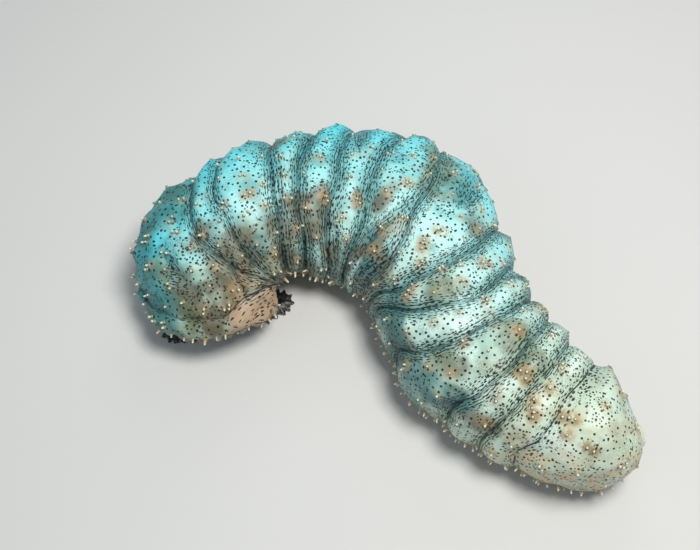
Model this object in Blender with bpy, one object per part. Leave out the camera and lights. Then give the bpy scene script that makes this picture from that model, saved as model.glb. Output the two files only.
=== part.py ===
"""A life-size sea cucumber that lies in a bend, its front end raised over its mouth.

The body is one tube, swept along a curved midline and divided into lobes by creases. A place on it
is a lobe number and an angle round the body. A whole lobe number is a crease, angle 0 is the middle
of the back, 180 the middle of the sole, and positive angles are on the inner side of the bend.
Sizes are in millimetres and degrees, and the meshes are made in metres.
"""
import math
import random

import bmesh
import bpy
import numpy as np

MM = 0.001
CUT_GAP = 0.3
SEED = 23

# Midline
BODY_LENGTH = 336
TAIL_LENGTH = 36
TAIL_ROUNDNESS = 2.5
MOUTH_X = -89.43
MOUTH_Y = 0.7
TRUNK_HEIGHT = 28
LEVEL_AT = 220

# Cross-section, from the mouth to the tail
STATIONS = (
    # distance, heading, climb, outer half width, inner half width, height above, depth below
    (0, 101, 60, 35, 34, 29, 24),
    (14, 92, 47, 40, 38, 32, 24),
    (32, 69, 27, 43, 38, 33, 21),
    (56, 41, 4, 37, 38, 35, 20),
    (81, 19, -11, 37, 39, 36, 24),
    (106, 4, -9, 43, 43, 36, 26),
    (131, -19, -2, 48, 46, 36, 26),
    (156, -44, 0, 50, 46, 36, 26),
    (181, -67, 0, 43, 43, 36, 26),
    (206, -71, 0, 38, 41, 36, 26),
    (231, -60, 0, 39, 42, 36, 26),
    (256, -50, 0, 40, 38, 36, 26),
    (281, -38, 0, 35, 32, 35, 26),
    (304, -25, 2, 34, 28, 34, 26),
    (320, -4, 8, 38, 25, 34, 27),
    (336, 18, 14, 35, 22, 33, 28),
)
SOLE_STARTS = 55
SOLE_COMPLETE = 115
ROUND_BELLY_POWER = 0.98
FLAT_SOLE_POWER = 0.62
SIDE_POWER = 0.92
BACK_POWER = 0.95

# Creases between the lobes, after the rim of the mouth
CREASE_ANGLES = (-180, -80, 0, 40, 80, 180)
CREASES = (
    # distance at the outer flank, back, inner shoulder, inner flank and sole,
    # then depth at the outer flank, back and inner flank
    (7, 4, 5, 7, 11, 0, 0, 0),
    (17, 8, 13, 20, 22, 3, 4, 5),
    (58, 37, 29, 24, 38, 5, 4, 4),
    (66, 49, 39, 28, 46, 3, 3, 6),
    (84, 71, 66, 58, 70, 5, 5, 7),
    (104, 86, 77, 82, 92, 5, 5, 6),
    (117, 108, 98, 102, 110, 4, 4, 6),
    (137, 130, 139, 131, 135, 4, 4, 6),
    (146, 162, 184, 184, 165, 3, 5, 7),
    (180, 200, 202, 193, 187, 6, 6, 7),
    (203, 223, 216, 200, 203, 5, 6, 7),
    (232, 240, 234, 223, 228, 5, 6, 6),
    (251, 262, 261, 255, 254, 6, 7, 6),
    (275, 277, 276, 271, 273, 6, 5, 4),
    (297, 293, 291, 286, 292, 2, 2, 2),
)
LAST_LOBE = len(CREASES) - 1
SOLE_EDGE = 95
SOLE_ANGLE = 128
LOBE_RISE = 2.4
LOBE_FULLNESS = 0.55
FULL_LOBE_LENGTH = 17
SMALLEST_LOBE = 0.1

# Short creases that stay inside a lobe: start and end (distance, angle), width and depth
SHORT_CREASES = (
    ((31, -34), (19, 0), 3.0, 2.6),
    ((160, 0), (152, 62), 3.4, 3.6),
    ((163, -66), (175, -8), 3.0, 2.4),
    ((120, -60), (119, -12), 3.0, 1.6),
    ((212, -70), (217, -34), 3.0, 2.0),
)

# Swellings on single lobes: distance, angle, radius, height
SWELLINGS = (
    (253, -8, 12, 3.2),
    (270, -3, 10, 2.6),
    (213, 16, 13, 2.6),
    (148, -40, 14, 2.5),
    (182, 30, 13, 1.8),
)

# Mesh of the body
SIDES = 36
ROW_LENGTH = 4.8
FEWEST_ROWS = 3
TAIL_ROWS = 9
TAIL_ROW_SHARE = 0.1

# Mouth
LIP_RADIUS = 4.0
LIP_TURNS = (30, 65, 100, 140)
ORAL_DISC_SHARE = 0.55
ORAL_DISC_DEPTH = 4.0

# Oral tentacles
TENTACLE_RINGS = (
    # count, root spread, foot spread across, foot spread along
    (10, 12.0, 25.0, 9.0),
    (4, 5.0, 12.0, 2.5),
)
TENTACLE_SIDES = 6
TENTACLE_ROOT_RADIUS = 2.6
TENTACLE_STALK_RADIUS = 1.9
TENTACLE_SHIELD_RADIUS = 5.4
TENTACLE_SHIELD_RISE = 3.2
TENTACLE_FOOT_SHIFT = 4.6
DISC_THICKNESS = 3.0

# Papillae and tube feet
SPIKE_SIDES = 5
SPIKE_ROOT = 2.2
MARGIN_SPACING = 11
MARGIN_ANGLE = 106
FRINGE_STARTS = 0.3
FRINGE_LEVEL = 16.0
MARGIN_RADIUS = 1.3
MARGIN_HEIGHT = 4.2
BACK_RADIUS = 1.6
BACK_HEIGHT = 2.6
BACK_ANGLE_STEP = 28
BACK_ANGLE_LIMIT = 74
TWO_ROW_LOBE = 27
FOOT_SPACING = 14
FOOT_ANGLES = (-146, -171, 171, 146)
FOOT_RADIUS = 1.8
FOOT_LENGTH = 3.0
FOOT_REACH = 5.0
CUT_CLEARANCE = 3.2

# Anal ring
ANUS_RADIUS = 5.6
ANUS_OPENING = 2.4
ANUS_LENGTH = 3.0
ANUS_SIDES = 15

# Nodes of the body: name, first crease, last crease, colour
BODY_NODES = (
    ("mouth_collar", 0, 1, (0.46, 0.38, 0.30)),
    ("front_end", 1, 4, (0.42, 0.50, 0.44)),
    ("neck", 4, 6, (0.52, 0.64, 0.60)),
    ("trunk_front", 6, 8, (0.50, 0.62, 0.58)),
    ("trunk_bend", 8, 10, (0.55, 0.66, 0.60)),
    ("trunk_rear", 10, 13, (0.52, 0.60, 0.50)),
    ("tail_end", 13, LAST_LOBE + 1, (0.62, 0.66, 0.55)),
)
SKIN_ROUGHNESS = 0.5
TENTACLE_COLOUR = (0.03, 0.03, 0.03)
ANUS_COLOUR = (0.7, 0.68, 0.6)


def clear_scene():
    for item in list(bpy.data.objects):
        bpy.data.objects.remove(item, do_unlink=True)


def skin(name, colour):
    """A plain matt material in one colour."""
    material = bpy.data.materials.new(name)
    material.use_nodes = True
    shader = material.node_tree.nodes["Principled BSDF"]
    shader.inputs["Base Color"].default_value = (*colour, 1)
    shader.inputs["Roughness"].default_value = SKIN_ROUGHNESS
    shader.inputs["Metallic"].default_value = 0
    return material


def ease(x, start, end):
    """0 before start, 1 after end, smooth between."""
    t = np.clip((x - start) / (end - start), 0, 1)
    return t * t * (3 - 2 * t)


def through(x, keys, values, level_ends=False):
    """A smooth curve through the values that doesn't overshoot them."""
    keys = np.asarray(keys, float)
    values = np.asarray(values, float)
    step = np.diff(keys)
    slope = np.diff(values) / step
    tangent = np.zeros_like(values)
    turning = slope[:-1] * slope[1:] <= 0
    before = 2 * step[1:] + step[:-1]
    after = step[1:] + 2 * step[:-1]
    safe_in = np.where(turning, 1, slope[:-1])
    safe_out = np.where(turning, 1, slope[1:])
    tangent[1:-1] = np.where(turning, 0, (before + after) / (before / safe_in + after / safe_out))
    if not level_ends:
        tangent[0], tangent[-1] = slope[0], slope[-1]
    i = np.clip(np.searchsorted(keys, x) - 1, 0, len(step) - 1)
    t = np.clip((x - keys[i]) / step[i], 0, 1)
    rest = 1 - t
    ends = values[i] * (1 + 2 * t) * rest**2 + values[i + 1] * (3 - 2 * t) * t**2
    return ends + step[i] * t * rest * (tangent[i] * rest - tangent[i + 1] * t)


def make_midline():
    """Places and frames along the midline at every quarter millimetre."""
    distance = np.linspace(0, BODY_LENGTH, 4 * BODY_LENGTH + 1)
    rows = np.array(STATIONS, float)
    heading = np.radians(through(distance, rows[:, 0], rows[:, 1]))
    climb = np.radians(through(distance, rows[:, 0], rows[:, 2]))
    along = np.stack([np.cos(heading) * np.cos(climb), np.sin(heading) * np.cos(climb), np.sin(climb)], -1)
    inner = np.stack([np.sin(heading), -np.cos(heading), 0 * heading], -1)
    up = np.cross(inner, along)
    steps = (along[1:] + along[:-1]) / 2 * (distance[1] - distance[0])
    place = np.concatenate([np.zeros((1, 3)), np.cumsum(steps, 0)])
    level = np.interp(LEVEL_AT, distance, place[:, 2])
    place += (MOUTH_X, MOUTH_Y, TRUNK_HEIGHT - level)
    return distance, place, along, inner, up


MIDLINE = make_midline()


def on_midline(kind, distance):
    """Interpolates the midline's place (1), direction (2), inner (3) or upward (4) vector."""
    return np.stack([np.interp(distance, MIDLINE[0], MIDLINE[kind][:, axis]) for axis in range(3)], -1)


def station(column, distance):
    rows = np.array(STATIONS, float)
    return through(distance, rows[:, 0], rows[:, column])


def tail_scale(distance):
    beyond = np.clip((distance - BODY_LENGTH + TAIL_LENGTH) / TAIL_LENGTH, 0, 1)
    return np.sqrt(np.clip(1 - beyond**TAIL_ROUNDNESS, 0, 1))


def tube(distance, angle):
    """A place on the smooth tube, with the outward direction there."""
    turn = np.radians(angle)
    side, height = np.sin(turn), np.cos(turn)
    scale = tail_scale(distance)
    width = np.where(side < 0, station(3, distance), station(4, distance))
    belly_power = ROUND_BELLY_POWER + (FLAT_SOLE_POWER - ROUND_BELLY_POWER) * ease(
        distance, SOLE_STARTS, SOLE_COMPLETE
    )
    above, below = station(5, distance), station(6, distance)
    x = width * scale * np.sign(side) * np.abs(side) ** SIDE_POWER
    z = scale * np.where(
        height > 0, above * np.abs(height) ** BACK_POWER, -below * np.abs(height) ** belly_power
    )
    reach = np.where(height > 0, above, below)
    inner, up = on_midline(3, distance), on_midline(4, distance)
    place = on_midline(1, distance) + x[..., None] * inner + z[..., None] * up
    outward = (x / width**2)[..., None] * inner + (z / reach**2)[..., None] * up
    outward /= np.linalg.norm(outward, axis=-1, keepdims=True) + 1e-9
    return place, outward


def crease_distance(number, angle):
    """Where a crease runs, as a distance along the midline, for each angle."""
    if number > LAST_LOBE:
        return np.full(np.shape(angle), float(BODY_LENGTH))
    outer, back, shoulder, flank, sole = CREASES[number][:5]
    return through(angle, CREASE_ANGLES, (sole, outer, back, shoulder, flank, sole), level_ends=True)


def crease_depth(number, angle):
    if number > LAST_LOBE:
        return np.zeros(np.shape(angle))
    outer, back, flank = CREASES[number][5:]
    keys = (-SOLE_ANGLE, -80, 0, 80, SOLE_ANGLE)
    return through(angle, keys, (0, outer, back, flank, 0), level_ends=True)


def lobe_fill(number, angle):
    """How much of its full relief a lobe has room for, from its length at each angle."""
    number = min(max(number, 0), LAST_LOBE)
    start, _ = tube(crease_distance(number, angle), angle)
    end, _ = tube(crease_distance(number + 1, angle), angle)
    return np.clip(np.linalg.norm(end - start, axis=-1) / FULL_LOBE_LENGTH, SMALLEST_LOBE, 1)


def surface_distance(lobe, share, angle):
    start = crease_distance(lobe, angle)
    if lobe == LAST_LOBE:
        share = 1 - (1 - share) ** 2
    return start + (crease_distance(lobe + 1, angle) - start) * share


def short_crease_relief(distance, angle):
    relief = np.zeros(np.shape(distance))
    for (s0, a0), (s1, a1), width, depth in SHORT_CREASES:
        along = np.clip((angle - a0) / (a1 - a0), 0, 1)
        inside = np.sin(np.pi * along) ** 0.5
        across = (distance - s0 - (s1 - s0) * along) / width
        relief -= depth * inside * np.exp(-np.abs(across) ** 1.4)
    return relief


def swelling_relief(distance, angle):
    relief = np.zeros(np.shape(distance))
    for centre, middle, radius, height in SWELLINGS:
        across = np.radians(angle - middle) * 40
        away = ((distance - centre) ** 2 + across**2) / radius**2
        relief += height * np.exp(-1.6 * away)
    return relief


def relief(lobe, share, angle):
    """How far the skin stands out from the tube."""
    distance = surface_distance(lobe, share, angle)
    above_sole = 1 - ease(np.abs(angle), SOLE_EDGE, SOLE_ANGLE)
    fill = lobe_fill(lobe, angle)
    near = crease_depth(lobe, angle) * np.minimum(fill, lobe_fill(lobe - 1, angle))
    far = crease_depth(lobe + 1, angle) * np.minimum(fill, lobe_fill(lobe + 1, angle))
    blend = ease(share, 0, 1)
    if lobe == LAST_LOBE:
        share = np.minimum(share, 0.5)
    arch = np.sin(np.pi * share) ** LOBE_FULLNESS
    depth = near + (far - near) * blend
    lift = arch * LOBE_RISE * fill * above_sole - (1 - arch) * depth
    waves = 0.7 * np.sin(distance / 7.3 + 2 * np.radians(angle)) * np.sin(np.radians(3.3 * angle) + distance / 17)
    extra = short_crease_relief(distance, angle) + swelling_relief(distance, angle) + waves * arch
    return (lift + extra * above_sole * fill) * tail_scale(distance)


def skin_point(lobe, share, angle):
    """A place on the skin, with the outward direction of the tube under it."""
    angle = np.asarray(angle, float)
    place, outward = tube(surface_distance(lobe, share, angle), angle)
    return place + relief(lobe, share, angle)[..., None] * outward, outward


def ring_angles():
    return np.arange(SIDES) * 360 / SIDES - 180


def lobe_shares(lobe):
    """The rows of a lobe's mesh, as shares of its length."""
    if lobe == LAST_LOBE:
        return [row * TAIL_ROW_SHARE for row in range(TAIL_ROWS)]
    length = crease_distance(lobe + 1, 0.0) - crease_distance(lobe, 0.0)
    rows = max(FEWEST_ROWS, round(float(length) / ROW_LENGTH))
    return [row / rows for row in range(rows)]


def cut_ring(crease, side):
    """The skin at a crease, moved half the gap to one side of it."""
    angles = ring_angles()
    ring, _ = skin_point(crease, 0.0, angles)
    along = on_midline(2, crease_distance(crease, angles))
    return ring + along * side * CUT_GAP / 2


def body_rings(first, last):
    rings = []
    for lobe in range(first, last):
        for share in lobe_shares(lobe):
            if share == 0 and lobe == first and first > 0:
                rings.append(cut_ring(first, 1))
            else:
                rings.append(skin_point(lobe, share, ring_angles())[0])
    if last <= LAST_LOBE:
        rings.append(cut_ring(last, -1))
    else:
        rings.append(anus_seat())
    return rings


def anus_seat():
    """The flat end of the tail, where the anal ring sits."""
    angles = np.radians(ring_angles())
    tip, _, inner, up = tail_frame()
    return tip + ANUS_RADIUS * (np.cos(angles)[:, None] * up + np.sin(angles)[:, None] * inner)


def tail_frame():
    """The middle of the flat end of the tail, with the directions along, inner and up there."""
    end = float(BODY_LENGTH)
    tip, along, inner, up = (on_midline(kind, end) for kind in (1, 2, 3, 4))
    middle = skin_point(LAST_LOBE, (TAIL_ROWS - 1) * TAIL_ROW_SHARE, ring_angles())[0].mean(0)
    return middle + along * np.dot(tip - middle, along), along, inner, up


def lip_rings():
    """Rings that roll the rim of the mouth inward and down to the oral disc."""
    angles = ring_angles()
    rim, outward = skin_point(0, 0.0, angles)
    along = on_midline(2, crease_distance(0, angles))
    rings = []
    for turn in LIP_TURNS:
        inward = LIP_RADIUS * (1 - math.cos(math.radians(turn)))
        forward = LIP_RADIUS * math.sin(math.radians(turn))
        rings.append(rim - inward * outward - forward * along)
    centre = rim.mean(0)
    disc = centre + (rim - centre) * ORAL_DISC_SHARE + along.mean(0) * ORAL_DISC_DEPTH
    rings.append(disc)
    return rings[::-1]


def closed_mesh(name, rings, flat_ends=True):
    """A tube through the rings, closed at each end by a flat face or a fan, with its faces pointing out."""
    mesh = bmesh.new()
    rows = [[mesh.verts.new(point * MM) for point in ring] for ring in rings]
    count = len(rows[0])
    for here, there in zip(rows, rows[1:]):
        for i in range(count):
            j = (i + 1) % count
            mesh.faces.new((here[i], here[j], there[j]))
            mesh.faces.new((here[i], there[j], there[i]))
    for row in (rows[0], rows[-1]):
        if flat_ends:
            mesh.faces.new(row)
            continue
        centre = mesh.verts.new(sum((vert.co for vert in row), start=row[0].co * 0) / count)
        for i in range(count):
            mesh.faces.new((row[i], row[(i + 1) % count], centre))
    bmesh.ops.recalc_face_normals(mesh, faces=mesh.faces)
    if mesh.calc_volume(signed=True) < 0:
        bmesh.ops.reverse_faces(mesh, faces=mesh.faces)
    data = bpy.data.meshes.new(name)
    mesh.to_mesh(data)
    mesh.free()
    item = bpy.data.objects.new(name, data)
    bpy.context.scene.collection.objects.link(item)
    return item


def frame_round(direction):
    """Two directions at right angles to the given one."""
    helper = np.array((1.0, 0, 0)) if abs(direction[2]) > 0.7 else np.array((0, 0, 1.0))
    across = np.cross(direction, helper)
    across /= np.linalg.norm(across)
    return across, np.cross(direction, across)


def circle(centre, across, other, radius, sides):
    """A ring of evenly spaced points."""
    turns = np.arange(sides) * 2 * math.pi / sides
    return centre + radius * (np.cos(turns)[:, None] * across + np.sin(turns)[:, None] * other)


def spike(name, root, direction, radius, height, tip_share=0.25):
    """A papilla: a short tapered peg with its root sunk in the skin."""
    across, other = frame_round(direction)
    rings = [
        circle(root - direction * SPIKE_ROOT, across, other, radius, SPIKE_SIDES),
        circle(root + direction * height, across, other, radius * tip_share, SPIKE_SIDES),
    ]
    return closed_mesh(name, rings)


def peg(name, top, bottom, radius):
    """A tube foot: a straight peg between two places."""
    direction = bottom - top
    direction = direction / np.linalg.norm(direction)
    across, other = frame_round(direction)
    rings = [
        circle(top, across, other, radius * 0.8, SPIKE_SIDES),
        circle(bottom, across, other, radius, SPIKE_SIDES),
    ]
    return closed_mesh(name, rings)


def even_steps(places, spacing, clearance):
    """Picks from a fine row of places (lobe, share, angle) those at even steps along the skin."""
    points = [skin_point(lobe, share, np.array([angle]))[0][0] for lobe, share, angle in places]
    lengths = np.cumsum([0] + [np.linalg.norm(b - a) for a, b in zip(points, points[1:])])
    targets = np.arange(clearance + spacing / 4, lengths[-1] - clearance, spacing)
    return [places[int(np.argmin(np.abs(lengths - target)))] for target in targets]


def walk(angle, first, last, spacing):
    """Places at even steps along the body at one angle, clear of the cuts."""
    places = [(lobe, share, angle) for lobe in range(first, last) for share in np.linspace(0, 1, 25)[:-1]]
    return even_steps(places, spacing, CUT_CLEARANCE)


def tail_fringe(spacing):
    """Places at even steps round the underside of the tail, at the level of the margin."""
    shares = np.linspace(0, 1, 101)[:-1]
    places = []
    for angle in range(MARGIN_ANGLE, 361 - MARGIN_ANGLE):
        levels = [skin_point(LAST_LOBE, share, np.array([angle]))[0][0][2] for share in shares]
        places.append((LAST_LOBE, shares[int(np.argmax(np.array(levels) > FRINGE_LEVEL))], angle))
    return even_steps(places, spacing, 0)


def margin_papillae(first, last, chance):
    """The row of longer papillae along both edges of the sole."""
    places = walk(-MARGIN_ANGLE, first, last, MARGIN_SPACING) + walk(MARGIN_ANGLE, first, last, MARGIN_SPACING)
    if last > LAST_LOBE:
        places = [place for place in places if place[0] < LAST_LOBE or place[1] < FRINGE_STARTS]
        places += tail_fringe(MARGIN_SPACING)
    pieces = []
    for lobe, share, angle in places:
        root, outward = skin_point(lobe, share, np.array([angle + chance.uniform(-5, 5)]))
        direction = outward[0] + np.array((0, 0, chance.uniform(0.05, 0.35)))
        direction /= np.linalg.norm(direction)
        height = MARGIN_HEIGHT * chance.uniform(0.75, 1.15)
        pieces.append(spike("papilla", root[0], direction, MARGIN_RADIUS, height))
    return pieces


def back_papillae(first, last, chance):
    """Short papillae on the crests of the lobes of the back."""
    pieces = []
    for lobe in range(first, last):
        for middle in np.arange(-BACK_ANGLE_LIMIT, BACK_ANGLE_LIMIT + 1, BACK_ANGLE_STEP):
            angle = np.array([middle + chance.uniform(-6, 6)])
            length = lobe_fill(lobe, angle)[0] * FULL_LOBE_LENGTH
            span = crease_distance(lobe + 1, angle)[0] - crease_distance(lobe, angle)[0]
            if length < 2.6 * CUT_CLEARANCE:
                continue
            shares = (0.3, 0.65) if span > TWO_ROW_LOBE else (0.5,)
            for share in shares:
                share += chance.uniform(-0.07, 0.07)
                root, outward = skin_point(lobe, share, angle)
                radius = BACK_RADIUS * chance.uniform(0.85, 1.1)
                height = BACK_HEIGHT * chance.uniform(0.8, 1.15)
                pieces.append(spike("papilla", root[0], outward[0], radius, height))
    return pieces


def tube_feet(first, last, chance):
    """Pegs under the sole. Those near the floor end flat on it, and the others hang free."""
    pieces = []
    for middle in FOOT_ANGLES:
        for lobe, share, angle in walk(middle, first, last, FOOT_SPACING):
            turned = np.array([angle + chance.uniform(-4, 4)])
            root, outward = skin_point(lobe, share, turned)
            root, outward = root[0], outward[0]
            if lobe == LAST_LOBE and root[2] > FRINGE_LEVEL:
                continue
            radius = FOOT_RADIUS * chance.uniform(0.85, 1.15)
            top = root - outward * SPIKE_ROOT
            if root[2] < FOOT_REACH:
                pieces.append(peg("foot", top, np.array((top[0], top[1], 0.0)), radius))
            else:
                pieces.append(peg("foot", top, root + outward * FOOT_LENGTH, radius))
    return pieces


def largest_surface(item):
    """Keeps only the largest closed surface of a mesh."""
    mesh = bmesh.new()
    mesh.from_mesh(item.data)
    bmesh.ops.triangulate(mesh, faces=mesh.faces)
    left = set(mesh.faces)
    groups = []
    while left:
        group = {left.pop()}
        edge_of_group = list(group)
        while edge_of_group:
            face = edge_of_group.pop()
            for edge in face.edges:
                for other in edge.link_faces:
                    if other in left:
                        left.remove(other)
                        group.add(other)
                        edge_of_group.append(other)
        groups.append(group)
    groups.sort(key=len)
    dropped = [face for group in groups[:-1] for face in group]
    bmesh.ops.delete(mesh, geom=dropped, context="FACES")
    mesh.to_mesh(item.data)
    mesh.free()


def fuse(item, pieces):
    """Joins the pieces to the object, so that it stays one closed body."""
    group = bpy.data.collections.new("pieces")
    bpy.context.scene.collection.children.link(group)
    for piece in pieces:
        bpy.context.scene.collection.objects.unlink(piece)
        group.objects.link(piece)
    union = item.modifiers.new("union", "BOOLEAN")
    union.operation = "UNION"
    union.operand_type = "COLLECTION"
    union.collection = group
    union.solver = "EXACT"
    bpy.context.view_layer.update()
    bpy.context.view_layer.objects.active = item
    bpy.ops.object.modifier_apply(modifier=union.name)
    for piece in pieces:
        bpy.data.objects.remove(piece, do_unlink=True)
    bpy.data.collections.remove(group)
    largest_surface(item)


def finish(item, colour):
    """Gives an object its material and smooth shading with sharp edges where it folds."""
    item.data.materials.clear()
    item.data.materials.append(skin(item.name + "_skin", colour))
    item.data.shade_smooth()
    item.data.set_sharp_from_angle(angle=math.radians(50))


def make_body():
    for number, (name, first, last, colour) in enumerate(BODY_NODES):
        chance = random.Random(SEED + number)
        rings = body_rings(first, last)
        if first == 0:
            rings = lip_rings() + rings
        body = closed_mesh(name, rings, flat_ends=False)
        pieces = margin_papillae(first, last, chance) + back_papillae(first, last, chance)
        if first > 0:
            pieces += tube_feet(first, last, chance)
        fuse(body, pieces)
        finish(body, colour)


def tentacle(name, root, direction, foot):
    """A tentacle: a stalk that bends down and ends in a shield with a flat foot on the floor."""
    down = np.array((0, 0, -1.0))
    bend = root + direction * (0.35 * np.linalg.norm(root - foot))
    above = foot - down * (TENTACLE_SHIELD_RISE + 1.5)
    path = (
        (root - direction * 1.5, direction, TENTACLE_ROOT_RADIUS),
        ((root + bend + above) / 3, direction + down, TENTACLE_STALK_RADIUS),
        (above, down, TENTACLE_STALK_RADIUS),
        (foot - down * TENTACLE_SHIELD_RISE * 0.55, down, TENTACLE_SHIELD_RADIUS),
        (foot, down, TENTACLE_SHIELD_RADIUS * 0.85),
    )
    rings = []
    for place, facing, radius in path:
        facing = facing / np.linalg.norm(facing)
        across = np.array((facing[2], 0, -facing[0]))
        across /= np.linalg.norm(across)
        rings.append(circle(place, across, np.cross(facing, across), radius, TENTACLE_SIDES))
    return closed_mesh(name, rings)


def make_tentacles():
    """The crown of tentacles on the oral disc, down to the floor."""
    chance = random.Random(SEED + 100)
    disc = lip_rings()[0]
    centre = disc.mean(0)
    quarter = SIDES // 4
    across = disc[3 * quarter] - disc[quarter]
    across /= np.linalg.norm(across)
    along = np.cross(disc[2 * quarter] - disc[0], across)
    along /= np.linalg.norm(along)
    other = np.cross(along, across)
    base = centre - along * CUT_GAP + (disc - centre) * 0.8
    crown = closed_mesh("tentacle_crown", [base, base - along * DISC_THICKNESS], flat_ends=False)
    pieces = []
    floor_centre = np.array((centre[0], centre[1] - TENTACLE_FOOT_SHIFT, 0.0))
    for number, (count, root_spread, foot_across, foot_along) in enumerate(TENTACLE_RINGS):
        for i in range(count):
            turn = 2 * math.pi * (i + 0.5 * number) / count + chance.uniform(-0.1, 0.1)
            spread = math.cos(turn) * across + math.sin(turn) * other
            root = centre - along * DISC_THICKNESS + spread * root_spread
            reach = chance.uniform(0.85, 1.08)
            foot = floor_centre + reach * np.array((foot_across * math.cos(turn), foot_along * math.sin(turn), 0))
            pieces.append(tentacle("tentacle", root, -along, foot))
    fuse(crown, pieces)
    finish(crown, TENTACLE_COLOUR)


def make_anal_ring():
    """A low ragged ring round the vent at the tip of the tail."""
    tip, along, inner, up = tail_frame()
    profile = (
        (CUT_GAP, ANUS_RADIUS * 0.96),
        (ANUS_LENGTH * 0.7, ANUS_RADIUS * 0.9),
        (ANUS_LENGTH, ANUS_RADIUS * 0.62),
        (ANUS_LENGTH * 0.9, ANUS_OPENING),
        (ANUS_LENGTH * 0.4, ANUS_OPENING * 0.7),
    )
    rings = []
    for level, radius in profile:
        ring = []
        for i in range(ANUS_SIDES):
            turn = 2 * math.pi * i / ANUS_SIDES
            ragged = 1 + 0.1 * math.cos(5 * turn)
            ring.append(tip + along * level + radius * ragged * (math.cos(turn) * up + math.sin(turn) * inner))
        rings.append(np.array(ring))
    ring = closed_mesh("anal_ring", rings)
    finish(ring, ANUS_COLOUR)


def main():
    clear_scene()
    make_body()
    make_tentacles()
    make_anal_ring()


main()
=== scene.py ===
"""The looks of a life-size sea cucumber that lies in a bend, on a plain floor in soft light.

One fine skin takes the place of the body's solids. It follows the same tube, lobes and creases, and
carries the dots, the mounds under the papillae and the wrinkles beside the creases. Papillae, tube
feet, oral tentacles and the vent are pieces of their own. Sizes are in millimetres and degrees, and
the meshes are made in metres.
"""

import math
import random

import bpy
import numpy as np
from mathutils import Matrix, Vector, kdtree


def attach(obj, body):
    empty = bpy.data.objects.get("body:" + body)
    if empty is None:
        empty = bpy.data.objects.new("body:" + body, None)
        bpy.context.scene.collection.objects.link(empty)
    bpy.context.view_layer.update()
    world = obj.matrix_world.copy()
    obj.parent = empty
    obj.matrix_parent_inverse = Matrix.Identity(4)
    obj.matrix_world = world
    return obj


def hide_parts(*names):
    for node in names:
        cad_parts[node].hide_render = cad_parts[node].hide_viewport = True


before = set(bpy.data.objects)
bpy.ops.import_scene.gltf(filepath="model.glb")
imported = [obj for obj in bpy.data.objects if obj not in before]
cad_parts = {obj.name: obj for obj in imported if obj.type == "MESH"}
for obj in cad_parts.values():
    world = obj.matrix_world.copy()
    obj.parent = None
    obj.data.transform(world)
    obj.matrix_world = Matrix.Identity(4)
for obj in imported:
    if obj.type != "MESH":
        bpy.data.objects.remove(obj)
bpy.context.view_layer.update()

MM = 0.001
SEED = 23

# Midline
BODY_LENGTH = 336
TAIL_LENGTH = 36
TAIL_ROUNDNESS = 2.5
MOUTH_X = -89.43
MOUTH_Y = 0.7
TRUNK_HEIGHT = 28
LEVEL_AT = 220

# Cross-section, from the mouth to the tail
STATIONS = (
    # distance, heading, climb, outer half width, inner half width, height above, depth below
    (0, 101, 60, 35, 28, 29, 24),
    (14, 92, 47, 40, 31, 32, 24),
    (32, 69, 27, 43, 38, 33, 21),
    (56, 41, 4, 37, 38, 35, 20),
    (81, 19, -11, 37, 39, 36, 24),
    (106, 4, -9, 43, 43, 36, 26),
    (131, -19, -2, 48, 46, 36, 26),
    (156, -44, 0, 50, 46, 36, 26),
    (181, -67, 0, 43, 43, 36, 26),
    (206, -71, 0, 38, 41, 36, 26),
    (231, -60, 0, 39, 42, 36, 26),
    (256, -50, 0, 40, 38, 36, 26),
    (281, -38, 0, 35, 32, 35, 26),
    (304, -27, 2, 35, 29, 34, 26),
    (320, -11, 8, 37, 24, 34, 27),
    (336, 5, 14, 38, 18, 33, 28),
)
SOLE_STARTS = 55
SOLE_COMPLETE = 115
ROUND_BELLY_POWER = 0.98
FLAT_SOLE_POWER = 0.62
SIDE_POWER = 0.92
BACK_POWER = 0.95

# Creases between the lobes, after the rim of the mouth
CREASE_ANGLES = (-180, -80, 0, 40, 80, 180)
CREASES = (
    # distance at the outer flank, back, inner shoulder, inner flank and sole,
    # then depth at the outer flank, back and inner flank
    (7, 4, 5, 7, 11, 0, 0, 0),
    (17, 10, 19, 24, 22, 1, 1, 6),
    (58, 37, 30, 28, 38, 5, 4, 4),
    (66, 49, 39, 33, 46, 3, 3, 6),
    (84, 71, 66, 58, 70, 5, 5, 7),
    (104, 86, 77, 82, 92, 5, 5, 6),
    (117, 108, 98, 102, 110, 4, 4, 6),
    (137, 130, 139, 131, 135, 4, 4, 6),
    (146, 162, 184, 184, 165, 3, 5, 7),
    (180, 200, 202, 193, 187, 6, 6, 7),
    (203, 223, 216, 200, 203, 5, 4, 6),
    (232, 240, 234, 223, 228, 5, 3.5, 5),
    (251, 262, 261, 255, 254, 6, 4, 5),
    (275, 277, 276, 271, 273, 5, 3, 3.5),
    (297, 293, 291, 286, 292, 2, 2, 2),
)
LAST_LOBE = len(CREASES) - 1
SOLE_EDGE = 95
SOLE_ANGLE = 128
LOBE_RISE = 2.4
LOBE_FULLNESS = 0.46
BACK_SOFTNESS = 0.3
TAIL_FULLNESS = 1.0
FULL_LOBE_LENGTH = 17
SMALLEST_LOBE = 0.1
WAVE_HEIGHT = 0.7
WAVE_TURNS = (7.3, 17)

# How far a crease strays from its line and how its depth varies
CREASE_STRAY = 0.7
STRAY_TURNS = (13.0, 5.7)
DEPTH_KEPT = 0.68
DEPTH_VARIES = 0.16
DEPTH_TURN = 13
INNER_DEPTH = 0.3
INNER_ANGLES = (50, 90)
BACK_DEPTH_LOSS = 0.45
BACK_REACH = 45

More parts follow.
